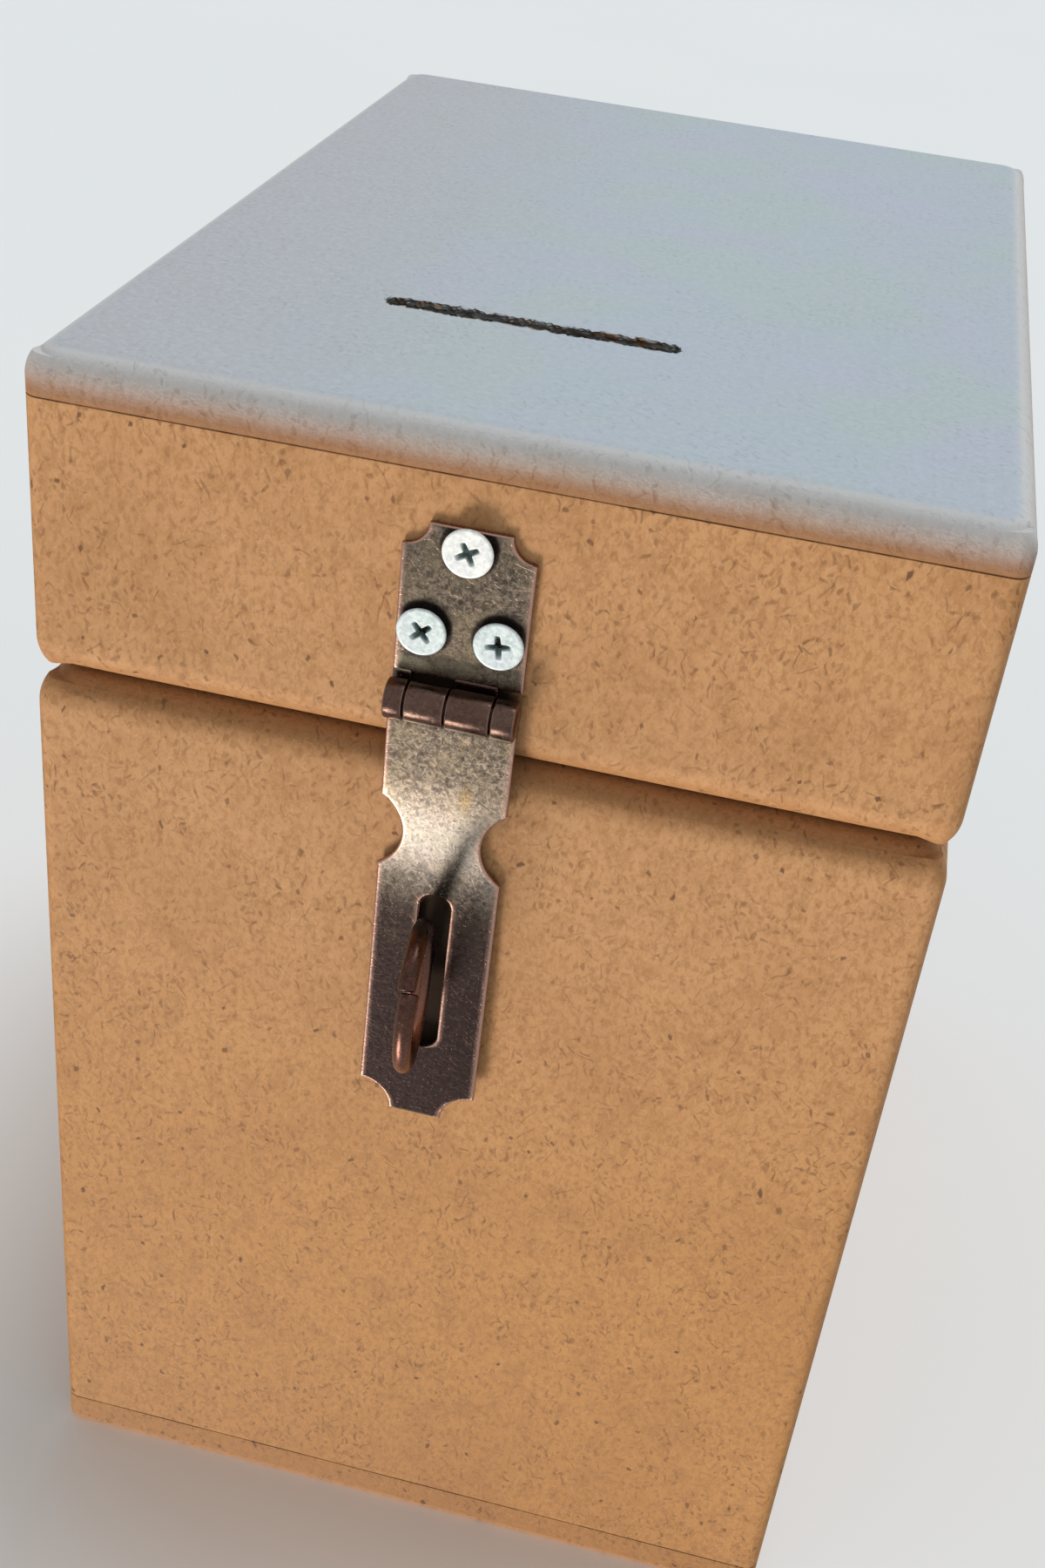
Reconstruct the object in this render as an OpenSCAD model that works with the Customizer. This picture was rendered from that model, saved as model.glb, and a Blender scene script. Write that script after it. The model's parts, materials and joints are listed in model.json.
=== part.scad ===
// A tip box: a tall fibreboard box with a coin slot in its hinged lid, and a hasp and staple
// at the front. Millimetres, +Z up, front towards -Y, origin at the middle of the base.

/* [Box] */
// Outside width, left to right
box_w = 160; // [120:1:240]
// Outside depth, front to back
box_d = 230; // [170:1:320]
// Height of the lower part, from the table to its rim
body_h = 198; // [150:1:300]
// Height of the lid, top board included
lid_h = 58.5; // [54:0.5:90]
// Thickness of the boards
board_t = 8; // [7:0.5:12]
// Gap between the lid's rim and the lower part's rim
rim_gap = 0.3; // [0.2:0.05:0.6]

/* [Rounded edges] */
// Radius along the top board's upper edges
top_edge_r = 5; // [2:0.5:6]
// Radius along the outside of both rims
rim_edge_r = 6.5; // [2:0.5:6.5]
// Radius along the edges that stand on the table
foot_edge_r = 2; // [1:0.5:5]
// Radius of the upright corners
corner_r = 3; // [1:0.5:5]

/* [Coin slot] */
// Length of the slot
coin_slot_l = 53; // [30:1:80]
// Width of the slot
coin_slot_w = 4.6; // [4.4:0.1:8]
// Distance from the front face to the middle of the slot
coin_slot_from_front = 51; // [25:1:90]
// Distance of the slot's middle to the right of the box's middle
coin_slot_x = -8; // [-20:1:20]

/* [Hasp] */
// Width of the hasp's leaf and strap
hasp_w = 22; // [20:1:30]
// Distance of the hasp's middle to the right of the box's middle
hasp_x = -4.6; // [-20:0.2:20]
// Height of the hasp's pin above the lid's rim
hasp_pin_above_rim = 11.4; // [6:0.2:16]
// Thickness of the hasp's sheet
sheet_t = 1.2; // [0.8:0.1:1.6]
// Diameter of the hasp's pin
pin_d = 4.4; // [3:0.1:4.8]
// Length of the leaf above the pin
leaf_l = 31; // [31:0.5:34]
// Radius of the scooped corners of the leaf
leaf_scoop_r = 4.2; // [2:0.2:5]
// Length of the strap below the pin
strap_l = 89; // [80:1:100]
// Distance of the strap from the front face
strap_gap = 1.2; // [0.8:0.1:1.4]
// Radius of the scooped corners at the strap's end
strap_scoop_r = 6; // [3:0.2:8]
// Distance of the waist below the pin
waist_drop = 27.2; // [24:0.2:30]
// Radius of the two round notches of the waist
waist_r = 9; // [7:0.5:12]
// Depth of the two round notches of the waist
waist_depth = 4; // [2:0.2:6]
// Length of the slot in the strap
strap_slot_l = 34; // [34:0.5:38]
// Width of the slot in the strap
strap_slot_w = 5.6; // [4.8:0.1:7]
// Distance of the slot's middle below the pin
strap_slot_drop = 56; // [54:0.5:58]

/* [Staple] */
// Thickness of the staple's wire
wire_d = 3.2; // [2.4:0.1:3.4]
// Radius of the staple's eye, to the middle of the wire
eye_r = 11.2; // [9:0.1:11.6]
// Gap between the eye and the front face
eye_gap = 0.4; // [0.2:0.1:1]
// Height of the eye's middle above the middle of the strap's slot
eye_rise = 2.2; // [0:0.1:2.4]
// Diameter of the staple's shank
staple_shank_d = 3; // [2:0.1:3.2]

/* [Screws] */
// Diameter of the shank of the hasp's screws
screw_d = 4; // [3.5:0.1:4.2]
// Diameter of the head of the hasp's screws
screw_head_d = 8.4; // [7.2:0.1:8.8]
// Diameter of the holes in the leaf, on whose edges the heads rest
leaf_hole_d = 5.6; // [4.4:0.1:5.8]
// Height of the straight rim of a screw head
head_rim = 0.3; // [0.2:0.1:0.6]
// Distance of the two lower screws to each side of the leaf's middle
screw_side_x = 6.4; // [4:0.2:8]
// Height of the two lower screws above the pin
screw_low_rise = 12.4; // [10:0.2:14]
// Height of the upper screw above the pin
screw_top_rise = 27.6; // [24:0.2:27.6]

/* [Rear hinges] */
// Length of each rear hinge, left to right
hinge_w = 30; // [24:1:40]
// Height of each leaf of a rear hinge from its pin
hinge_leaf_h = 17; // [14:0.5:22]
// Place of each rear hinge's middle, as a share of the way from the box's middle to its side
hinge_place_share = 0.59; // [0.45:0.01:0.65]
// Diameter of the rear hinges' pins
hinge_pin_d = 2.6; // [2:0.1:3]
// Diameter of the shank of the rear hinges' screws
hinge_screw_d = 2.8; // [2.4:0.1:3.2]
// Distance of a hinge's screws to each side of its middle
hinge_screw_x = 9; // [7:0.5:11]

/* [Hidden] */
$fn = 48;

// How far a cutting shape runs past the face that it cuts
overrun = 1;
// Clearance round a pin, on its radius
pin_fit = 0.05;
// Clearance round a screw or shank in wood, on its radius
pilot_fit = 0.1;
// Least distance between hinge pieces that turn past each other
turn_gap = 0.3;
// Wood left in front of the tip of a screw
tip_wood = 0.8;
// Length of the pointed tip of a screw or shank
tip_l = 2;
// Radius at the point of a screw or shank
point_r = 0.3;
// Depth, width and length of the cross in a screw head, as shares of the head
cross_depth_share = 0.2;
cross_w_share = 0.16;
cross_l_share = 0.62;
// How far the pins stand out at each end
pin_proud = 0.25;
// How each of the hasp's screws was left turned, in degrees
top_screw_turn = 28;
left_screw_turn = 40;
right_screw_turn = 8;
// Where one knuckle ends and the next begins, as shares of the barrel from its left end
hasp_knuckle_shares = [0, 0.155, 0.47, 0.82, 1];
hinge_knuckle_shares = [0, 0.3, 0.7, 1];
// Height of a rear hinge's screws, as a share of the leaf's height
hinge_screw_share = 0.62;

front_y = -box_d / 2;
back_y = box_d / 2;
lid_z = body_h + rim_gap;
box_top_z = lid_z + lid_h;
seam_z = box_top_z - board_t;
wall_l = box_d - 2 * board_t;

hasp_knuckle_r = pin_d / 2 + pin_fit + sheet_t;
hasp_axis_y = front_y - hasp_knuckle_r - turn_gap;
hasp_axis_z = lid_z + hasp_pin_above_rim;
staple_z = hasp_axis_z - strap_slot_drop + eye_rise;
eye_y = front_y - eye_gap - wire_d / 2 - eye_r;

hinge_knuckle_r = hinge_pin_d / 2 + pin_fit + sheet_t;
hinge_x = box_w / 2 * hinge_place_share;
hinge_axis_y = back_y + hinge_knuckle_r + turn_gap;
hinge_axis_z = body_h + rim_gap / 2;

// A head rests on the edge of its hole, so its cone is cut off by the hole's radius
head_rise = (screw_head_d - leaf_hole_d) / 2;
head_cone_h = (screw_head_d - screw_d) / 2;
screw_places = [[0, screw_top_rise], [-screw_side_x, screw_low_rise], [screw_side_x, screw_low_rise]];
hinge_head_d = hinge_screw_d + 2 * sheet_t;

// Rectangle from low to high with one radius at its lower corners and one at its upper
module rounded_rect(low, high, low_r, high_r) {
    translate([low.x + low_r, low.y]) square([high.x - low.x - 2 * low_r, high.y - low.y - high_r]);
    translate([low.x + high_r, high.y - high_r]) square([high.x - low.x - 2 * high_r, high_r]);
    translate([low.x, low.y + low_r]) square([high.x - low.x, high.y - low.y - low_r - high_r]);
    for (x = [low.x + low_r, high.x - low_r]) translate([x, low.y + low_r]) circle(r = low_r);
    for (x = [low.x + high_r, high.x - high_r]) translate([x, high.y - high_r]) circle(r = high_r);
}

// A block as large as the box between two heights, with all its outer edges rounded
module rounded_block(low_z, high_z, low_r, high_r) {
    intersection() {
        translate([0, 0, low_z])
            linear_extrude(high_z - low_z)
                rounded_rect([-box_w / 2, front_y], [box_w / 2, back_y], corner_r, corner_r);
        translate([0, box_d / 2, 0])
            rotate([90, 0, 0])
                linear_extrude(box_d)
                    rounded_rect([-box_w / 2, low_z], [box_w / 2, high_z], low_r, high_r);
        translate([-box_w / 2, 0, 0])
            rotate([90, 0, 90])
                linear_extrude(box_w)
                    rounded_rect([front_y, low_z], [back_y, high_z], low_r, high_r);
    }
}

module body_block() {
    rounded_block(0, body_h, foot_edge_r, rim_edge_r);
}

module lid_block() {
    rounded_block(lid_z, box_top_z, rim_edge_r, top_edge_r);
}

// The space of a front or back wall: side is -1 at the front and 1 at the back
module cross_wall_space(side, low_z, high_z) {
    translate([-box_w / 2, side < 0 ? front_y : back_y - board_t, low_z])
        cube([box_w, board_t, high_z - low_z]);
}

// The space of a left or right wall, which stands between the front and the back
module side_wall_space(side, low_z, high_z) {
    translate([side < 0 ? -box_w / 2 : box_w / 2 - board_t, front_y + board_t, low_z])
        cube([board_t, wall_l, high_z - low_z]);
}

// A cylinder from y on, along the front-to-back direction; dir is 1 towards the back
module rod_y(x, y, z, length, r1, r2, dir) {
    translate([x, y, z])
        rotate([dir > 0 ? -90 : 90, 0, 0])
            cylinder(h = length, r1 = r1, r2 = r2);
}

// A cylinder along the left-to-right direction, starting at x
module rod_x(x, y, z, length, r) {
    translate([x, y, z]) rotate([0, 90, 0]) cylinder(h = length, r = r);
}

// The hole that a screw or shank makes in a wall, from the wall's outer face
module pilot_hole(x, face_y, z, d, dir) {
    rod_y(x, face_y - dir * overrun, z, board_t - tip_wood + pilot_fit + overrun,
          d / 2 + pilot_fit, d / 2 + pilot_fit, dir);
}

// A shank with a pointed tip, from start_y into the wall whose outer face is face_y
module shank(x, start_y, face_y, z, d, dir) {
    end_y = face_y + dir * (board_t - tip_wood);
    straight = abs(end_y - start_y) - tip_l;
    rod_y(x, start_y, z, straight, d / 2, d / 2, dir);
    rod_y(x, start_y + dir * straight, z, tip_l, d / 2, point_r, dir);
}

// The cross in a screw head, cut from the head's face inwards
module head_cross(x, face_y, z, d, turn, dir) {
    depth = d * cross_depth_share;
    translate([x, face_y + dir * (depth - overrun) / 2, z])
        rotate([0, turn, 0])
            for (a = [0, 90])
                rotate([0, a, 0])
                    cube([d * cross_l_share, depth + overrun, d * cross_w_share], center = true);
}

// Body

module body_base() {
    color("peru")
        intersection() {
            body_block();
            translate([-box_w / 2, front_y, 0]) cube([box_w, box_d, board_t]);
        }
}

module body_front_panel() {
    color("peru")
        difference() {
            intersection() {
                body_block();
                cross_wall_space(-1, board_t, body_h);
            }
            pilot_hole(hasp_x, front_y, staple_z, staple_shank_d, 1);
        }
}

module body_back_panel() {
    color("peru")
        difference() {
            intersection() {
                body_block();
                cross_wall_space(1, board_t, body_h);
            }
            for (side = [-1, 1], sx = [-1, 1])
                pilot_hole(side * hinge_x + sx * hinge_screw_x, back_y,
                           hinge_axis_z - hinge_leaf_h * hinge_screw_share, hinge_screw_d, -1);
        }
}

module body_side_panel(side) {
    color("peru")
        intersection() {
            body_block();
            side_wall_space(side, board_t, body_h);
        }
}

module body_left_panel() {
    body_side_panel(-1);
}

module body_right_panel() {
    body_side_panel(1);
}

// Lid

module lid_top_panel() {
    color("burlywood")
        difference() {
            intersection() {
                lid_block();
                translate([-box_w / 2, front_y, seam_z]) cube([box_w, box_d, board_t]);
            }
            translate([coin_slot_x - coin_slot_l / 2, front_y + coin_slot_from_front - coin_slot_w / 2,
                       seam_z - overrun])
                cube([coin_slot_l, coin_slot_w, board_t + 2 * overrun]);
        }
}

module lid_front_panel() {
    color("burlywood")
        difference() {
            intersection() {
                lid_block();
                cross_wall_space(-1, lid_z, seam_z);
            }
            for (p = screw_places)
                pilot_hole(hasp_x + p[0], front_y, hasp_axis_z + p[1], screw_d, 1);
        }
}

module lid_back_panel() {
    color("burlywood")
        difference() {
            intersection() {
                lid_block();
                cross_wall_space(1, lid_z, seam_z);
            }
            for (side = [-1, 1], sx = [-1, 1])
                pilot_hole(side * hinge_x + sx * hinge_screw_x, back_y,
                           hinge_axis_z + hinge_leaf_h * hinge_screw_share, hinge_screw_d, -1);
        }
}

module lid_side_panel(side) {
    color("burlywood")
        intersection() {
            lid_block();
            side_wall_space(side, lid_z, seam_z);
        }
}

module lid_left_panel() {
    lid_side_panel(-1);
}

module lid_right_panel() {
    lid_side_panel(1);
}

// Hasp. Sheet outlines are drawn with the hasp's pin at their origin.

// A sheet whose outline is drawn in X and Z round the hasp's pin, with its back face at back_y
module hasp_sheet(sheet_back_y) {
    translate([hasp_x, sheet_back_y, hasp_axis_z])
        rotate([90, 0, 0])
            linear_extrude(sheet_t)
                children();
}

// Left end and length of one knuckle of the hasp's barrel
function hasp_knuckle_x(i) = -hasp_w / 2 + hasp_w * hasp_knuckle_shares[i] + (i > 0 ? turn_gap / 2 : 0);
function hasp_knuckle_end(i) =
    -hasp_w / 2 + hasp_w * hasp_knuckle_shares[i + 1] - (i < len(hasp_knuckle_shares) - 2 ? turn_gap / 2 : 0);

module hasp_knuckle(i) {
    rod_x(hasp_x + hasp_knuckle_x(i), hasp_axis_y, hasp_axis_z,
          hasp_knuckle_end(i) - hasp_knuckle_x(i), hasp_knuckle_r);
}

// Room in a sheet for the other sheet's knuckle, as far out as that knuckle turns
module hasp_knuckle_room(i) {
    room = hasp_knuckle_r + turn_gap;
    left = i == 0 ? -hasp_w / 2 - overrun : hasp_knuckle_end(i - 1);
    right = i == len(hasp_knuckle_shares) - 2 ? hasp_w / 2 + overrun : hasp_knuckle_x(i + 1);
    translate([left, -room]) square([right - left, 2 * room]);
}

module hasp_bore() {
    rod_x(hasp_x - hasp_w / 2 - overrun, hasp_axis_y, hasp_axis_z, hasp_w + 2 * overrun,
          pin_d / 2 + pin_fit);
}

module leaf_outline() {
    difference() {
        translate([-hasp_w / 2, 0]) square([hasp_w, leaf_l]);
        for (sx = [-1, 1]) translate([sx * hasp_w / 2, leaf_l]) circle(r = leaf_scoop_r);
        for (i = [1, 3]) hasp_knuckle_room(i);
        for (p = screw_places) translate(p) circle(d = leaf_hole_d);
    }
}

module strap_outline() {
    // The sheet's upper edge runs into the middle of the knuckles' wall
    top = hasp_knuckle_r - sheet_t / 2;
    difference() {
        translate([-hasp_w / 2, -strap_l]) square([hasp_w, strap_l - top]);
        for (sx = [-1, 1]) {
            translate([sx * (hasp_w / 2 + waist_r - waist_depth), -waist_drop]) circle(r = waist_r);
            translate([sx * hasp_w / 2, -strap_l]) circle(r = strap_scoop_r);
        }
        for (i = [0, 2]) hasp_knuckle_room(i);
        strap_slot();
    }
}

module strap_slot() {
    half = (strap_slot_l - strap_slot_w) / 2;
    translate([-strap_slot_w / 2, -strap_slot_drop - half]) square([strap_slot_w, 2 * half]);
    for (s = [-1, 1]) translate([0, -strap_slot_drop + s * half]) circle(d = strap_slot_w);
}

module hasp_leaf() {
    color("dimgray")
        difference() {
            union() {
                hasp_sheet(front_y) leaf_outline();
                for (i = [0, 2]) hasp_knuckle(i);
            }
            hasp_bore();
        }
}

module hasp_strap() {
    color("dimgray")
        difference() {
            union() {
                hasp_sheet(front_y - strap_gap) strap_outline();
                for (i = [1, 3]) hasp_knuckle(i);
            }
            hasp_bore();
        }
}

module hasp_pin() {
    color("saddlebrown")
        rod_x(hasp_x - hasp_w / 2 - pin_proud, hasp_axis_y, hasp_axis_z, hasp_w + 2 * pin_proud, pin_d / 2);
}

// A countersunk screw that stands proud, because its hole in the leaf is narrower than its head
module hasp_screw(place, turn) {
    x = hasp_x + place[0];
    z = hasp_axis_z + place[1];
    leaf_face_y = front_y - sheet_t;
    cone_y = leaf_face_y - head_rise;
    color("gainsboro")
        difference() {
            union() {
                rod_y(x, cone_y - head_rim, z, head_rim, screw_head_d / 2, screw_head_d / 2, 1);
                rod_y(x, cone_y, z, head_cone_h, screw_head_d / 2, screw_d / 2, 1);
                shank(x, cone_y + head_cone_h, front_y, z, screw_d, 1);
            }
            head_cross(x, cone_y - head_rim, z, screw_head_d, turn, 1);
        }
}

module hasp_screw_top() {
    hasp_screw(screw_places[0], top_screw_turn);
}

module hasp_screw_left() {
    hasp_screw(screw_places[1], left_screw_turn);
}

module hasp_screw_right() {
    hasp_screw(screw_places[2], right_screw_turn);
}

// A round wire eye on a pointed shank, standing square to the front
module staple() {
    color("sienna")
        union() {
            translate([hasp_x, eye_y, staple_z])
                rotate([0, 90, 0])
                    rotate_extrude()
                        translate([eye_r, 0]) circle(d = wire_d);
            shank(hasp_x, eye_y + eye_r, front_y, staple_z, staple_shank_d, 1);
        }
}

// Rear hinges. side is -1 on the left and 1 on the right; up is 1 on the lid and -1 on the body.

function hinge_knuckle_x(i) =
    -hinge_w / 2 + hinge_w * hinge_knuckle_shares[i] + (i > 0 ? turn_gap / 2 : 0);
function hinge_knuckle_end(i) =
    -hinge_w / 2 + hinge_w * hinge_knuckle_shares[i + 1]
    - (i < len(hinge_knuckle_shares) - 2 ? turn_gap / 2 : 0);

module hinge_leaf(side, up) {
    // The lid's leaf has the middle knuckle and the body's leaf has the outer two
    own = up > 0 ? [1] : [0, 2];
    other = up > 0 ? [0, 2] : [1];
    room = hinge_knuckle_r + turn_gap;
    x = side * hinge_x;
    color("dimgray")
        difference() {
            union() {
                translate([x - hinge_w / 2, back_y, hinge_axis_z - (up > 0 ? 0 : hinge_leaf_h)])
                    cube([hinge_w, sheet_t, hinge_leaf_h]);
                for (i = own)
                    rod_x(x + hinge_knuckle_x(i), hinge_axis_y, hinge_axis_z,
                          hinge_knuckle_end(i) - hinge_knuckle_x(i), hinge_knuckle_r);
            }
            for (i = other) {
                left = i == 0 ? -hinge_w / 2 - overrun : hinge_knuckle_end(i - 1);
                right = i == len(hinge_knuckle_shares) - 2 ? hinge_w / 2 + overrun : hinge_knuckle_x(i + 1);
                translate([x + left, back_y - overrun, hinge_axis_z - room])
                    cube([right - left, sheet_t + 2 * overrun, 2 * room]);
            }
            rod_x(x - hinge_w / 2 - overrun, hinge_axis_y, hinge_axis_z, hinge_w + 2 * overrun,
                  hinge_pin_d / 2 + pin_fit);
            for (sx = [-1, 1])
                rod_y(x + sx * hinge_screw_x, back_y + sheet_t, hinge_axis_z + up * hinge_leaf_h * hinge_screw_share,
                      sheet_t, hinge_head_d / 2 + pin_fit, hinge_screw_d / 2 + pin_fit, -1);
        }
}

module hinge_pin(side) {
    color("saddlebrown")
        rod_x(side * hinge_x - hinge_w / 2 - pin_proud, hinge_axis_y, hinge_axis_z,
              hinge_w + 2 * pin_proud, hinge_pin_d / 2);
}

// The two flush screws of one leaf
module hinge_screws(side, up) {
    z = hinge_axis_z + up * hinge_leaf_h * hinge_screw_share;
    color("gray")
        for (sx = [-1, 1]) {
            x = side * hinge_x + sx * hinge_screw_x;
            difference() {
                union() {
                    rod_y(x, back_y + sheet_t, z, sheet_t, hinge_head_d / 2, hinge_screw_d / 2, -1);
                    shank(x, back_y, back_y, z, hinge_screw_d, -1);
                }
                head_cross(x, back_y + sheet_t, z, hinge_head_d, sx * up * top_screw_turn, -1);
            }
        }
}

module left_hinge_body_leaf() { hinge_leaf(-1, -1); }
module left_hinge_lid_leaf() { hinge_leaf(-1, 1); }
module left_hinge_pin() { hinge_pin(-1); }
module left_hinge_body_screws() { hinge_screws(-1, -1); }
module left_hinge_lid_screws() { hinge_screws(-1, 1); }
module right_hinge_body_leaf() { hinge_leaf(1, -1); }
module right_hinge_lid_leaf() { hinge_leaf(1, 1); }
module right_hinge_pin() { hinge_pin(1); }
module right_hinge_body_screws() { hinge_screws(1, -1); }
module right_hinge_lid_screws() { hinge_screws(1, 1); }

body_base();
body_front_panel();
body_back_panel();
body_left_panel();
body_right_panel();
lid_top_panel();
lid_front_panel();
lid_back_panel();
lid_left_panel();
lid_right_panel();
hasp_leaf();
hasp_strap();
hasp_pin();
hasp_screw_top();
hasp_screw_left();
hasp_screw_right();
staple();
left_hinge_body_leaf();
left_hinge_lid_leaf();
left_hinge_pin();
left_hinge_body_screws();
left_hinge_lid_screws();
right_hinge_body_leaf();
right_hinge_lid_leaf();
right_hinge_pin();
right_hinge_body_screws();
right_hinge_lid_screws();
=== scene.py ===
# Tip box: bare fibreboard, an antiqued hasp with three zinc screws, a wire eye and two rear hinges.
# In the dictionaries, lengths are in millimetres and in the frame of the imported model, and angles are in
# degrees, unless a comment says otherwise. Tones of 0 to 255 are sRGB.
import json
import bmesh
import bpy
import numpy as np
from mathutils import Matrix, Vector


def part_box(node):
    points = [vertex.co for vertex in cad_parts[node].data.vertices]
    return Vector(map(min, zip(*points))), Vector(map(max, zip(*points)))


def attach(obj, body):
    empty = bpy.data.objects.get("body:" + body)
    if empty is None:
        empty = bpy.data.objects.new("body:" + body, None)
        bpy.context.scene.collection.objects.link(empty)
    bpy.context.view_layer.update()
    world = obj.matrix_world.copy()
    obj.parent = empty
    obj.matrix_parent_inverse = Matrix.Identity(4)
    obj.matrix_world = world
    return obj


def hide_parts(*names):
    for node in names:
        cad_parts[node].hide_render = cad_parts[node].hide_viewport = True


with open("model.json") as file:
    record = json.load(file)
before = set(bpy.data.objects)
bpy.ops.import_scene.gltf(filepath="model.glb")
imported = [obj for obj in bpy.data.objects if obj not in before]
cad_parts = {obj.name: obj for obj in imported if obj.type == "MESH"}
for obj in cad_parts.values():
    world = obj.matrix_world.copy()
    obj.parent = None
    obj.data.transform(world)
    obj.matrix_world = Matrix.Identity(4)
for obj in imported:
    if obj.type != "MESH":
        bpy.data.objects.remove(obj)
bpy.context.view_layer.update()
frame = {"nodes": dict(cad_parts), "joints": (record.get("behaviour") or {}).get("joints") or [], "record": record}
mm = 0.001


def boxOf(node):
    # Lowest and highest corner of a CAD node, in millimetres
    low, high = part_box(node)
    return np.array(low) / mm, np.array(high) / mm


def placeOf(entries, name):
    # Place of a joint or a mount of the record, in millimetres
    place = next(entry["pos_m"] for entry in entries if entry["name"] == name)
    return np.round(np.array(place) / mm, 3)


haspAxis = placeOf(frame["joints"], "strap_hinge")
eyeMiddle = placeOf(frame["record"]["mounts"], "padlock_eye")
frontY = round(float(boxOf("body_front_panel")[0][1]), 3)
print("frame loaded:", len(frame["nodes"]), "nodes")


def operator(operation, swapped=False):
    # A method that adds a Math node to the nodes of its wire
    def apply(wire, *others):
        values = (*others, wire) if swapped else (wire, *others)
        return wire.nodes.add("ShaderNodeMath", {"operation": operation}, dict(enumerate(values)))
    return apply


class Wire:
    # An output socket of a node
    __add__ = __radd__ = operator("ADD")
    __mul__ = __rmul__ = operator("MULTIPLY")
    __sub__ = operator("SUBTRACT")
    __rsub__ = operator("SUBTRACT", swapped=True)
    __pow__ = operator("POWER")
    most = operator("MAXIMUM")
    least = operator("MINIMUM")
    size = operator("ABSOLUTE")

    def __init__(self, nodes, socket):
        self.nodes = nodes
        self.socket = socket

    # Another output of the same node
    def beside(self, output):
        return Wire(self.nodes, self.socket.node.outputs[output])

    # 0 below low and 1 above high, with a soft S between them; low may be the larger one
    def rise(self, low, high):
        up = low < high
        return self.nodes.add("ShaderNodeMapRange", {"interpolation_type": "SMOOTHSTEP", "clamp": True},
                              {"Value": self, "From Min": min(low, high), "From Max": max(low, high),
                               "To Min": 0 if up else 1, "To Max": 1 if up else 0})


def linear(tone):
    # An sRGB colour in 0 to 255 as linear values
    c = np.array(tone) / 255
    return tuple(float(x) for x in np.where(c <= 0.04045, c / 12.92, ((c + 0.055) / 1.055) ** 2.4))


class Nodes:
    # The nodes of a material or of the world
    def __init__(self, owner):
        owner.use_nodes = True
        self.tree = owner.node_tree

    # Adds any node: its type, its settings, then the values or wires of its sockets
    def add(self, kind, settings=None, sockets=None, output=0):
        node = self.tree.nodes.new(kind)
        for name, value in (settings or {}).items():
            setattr(node, name, value)
        for name, value in (sockets or {}).items():
            target = node.inputs[name]
            if isinstance(value, Wire):
                self.tree.links.new(value.socket, target)
            else:
                target.default_value = (*value, 1) if target.type == "RGBA" else value
        return Wire(self, node.outputs[output])


class Finish(Nodes):
    # A material, with the nodes that its finish is made of
    def __init__(self, name, **constants):
        self.material = bpy.data.materials.new(name)
        super().__init__(self.material)
        self.shader = self.tree.nodes["Principled BSDF"]
        for socket, value in constants.items():
            self.shader.inputs[socket.replace("_", " ")].default_value = value

    # Object coordinates in millimetres, stretched by a factor along each axis
    def place(self, stretch=(1, 1, 1)):
        raw = self.add("ShaderNodeTexCoord", output=3)
        return self.vector("MULTIPLY", raw, tuple(1 / (mm * s) for s in stretch))

    def vector(self, operation, *values, output=0, scale=None):
        sockets = dict(enumerate(values))
        if scale is not None:
            sockets["Scale"] = scale
        return self.add("ShaderNodeVectorMath", {"operation": operation}, sockets, output)

    # A vector without its part along the normal
    def inSurface(self, away, normal):
        part = self.vector("DOT_PRODUCT", away, normal, output=1)
        return self.vector("SUBTRACT", away, self.vector("SCALE", normal, scale=part))

    def noise(self, coordinates, grain, detail=2, roughness=0.5, distortion=0):
        return self.add("ShaderNodeTexNoise", None,
                        {"Vector": coordinates, "Scale": 1 / grain, "Detail": detail,
                         "Roughness": roughness, "Distortion": distortion})

    def attribute(self, name):
        return self.add("ShaderNodeAttribute", {"attribute_name": name}, output=2)

    # Each tone is a wire or an sRGB colour in 0 to 255
    def mix(self, share, first, second):
        first, second = (tone if isinstance(tone, Wire) else linear(tone) for tone in (first, second))
        return self.add("ShaderNodeMix", {"data_type": "RGBA", "clamp_factor": True},
                        {0: share, 6: first, 7: second}, 2)

    # How far away from an ellipsoid's middle: 1 on its surface
    def reach(self, away, half):
        return self.vector("LENGTH", self.vector("DIVIDE", away, half), output=1)

    def feed(self, **wires):
        for socket, wire in wires.items():
            self.tree.links.new(wire.socket, self.shader.inputs[socket.replace("_", " ")])

    # height is in millimetres
    def bump(self, height, strength=1.0):
        bumped = self.add("ShaderNodeBump", None, {"Strength": strength, "Distance": mm, "Height": height})
        self.feed(Normal=bumped)


def strands(f, coordinates, normal, spacing, length, width, share):
    # One thin line in each Voronoi cell, laid into the surface: the way from the cell's point and the cell's
    # random direction both lose their part along the normal. The mask is 1 near that line and within half
    # the length of the cell's point; share is the part of the cells that have a line.
    cell = f.add("ShaderNodeTexVoronoi", {"feature": "F1"}, {"Vector": coordinates, "Scale": 1 / spacing}, 1)
    away = f.inSurface(f.vector("SUBTRACT", coordinates, cell.beside("Position")), normal)
    aim = f.vector("NORMALIZE", f.inSurface(f.vector("SUBTRACT", cell, (0.5, 0.5, 0.5)), normal))
    along = f.vector("DOT_PRODUCT", away, aim, output=1)
    whole = f.vector("DOT_PRODUCT", away, away, output=1)
    across = (whole - along * along).most(0) ** 0.5
    red = f.add("ShaderNodeSeparateColor", None, {"Color": cell})
    chosen = red.rise(share + 0.02, share - 0.02) * (0.35 + 0.65 * red.beside(1))
    return across.rise(width, width * 0.35) * along.size().rise(length / 2, length / 3.4) * chosen


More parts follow.
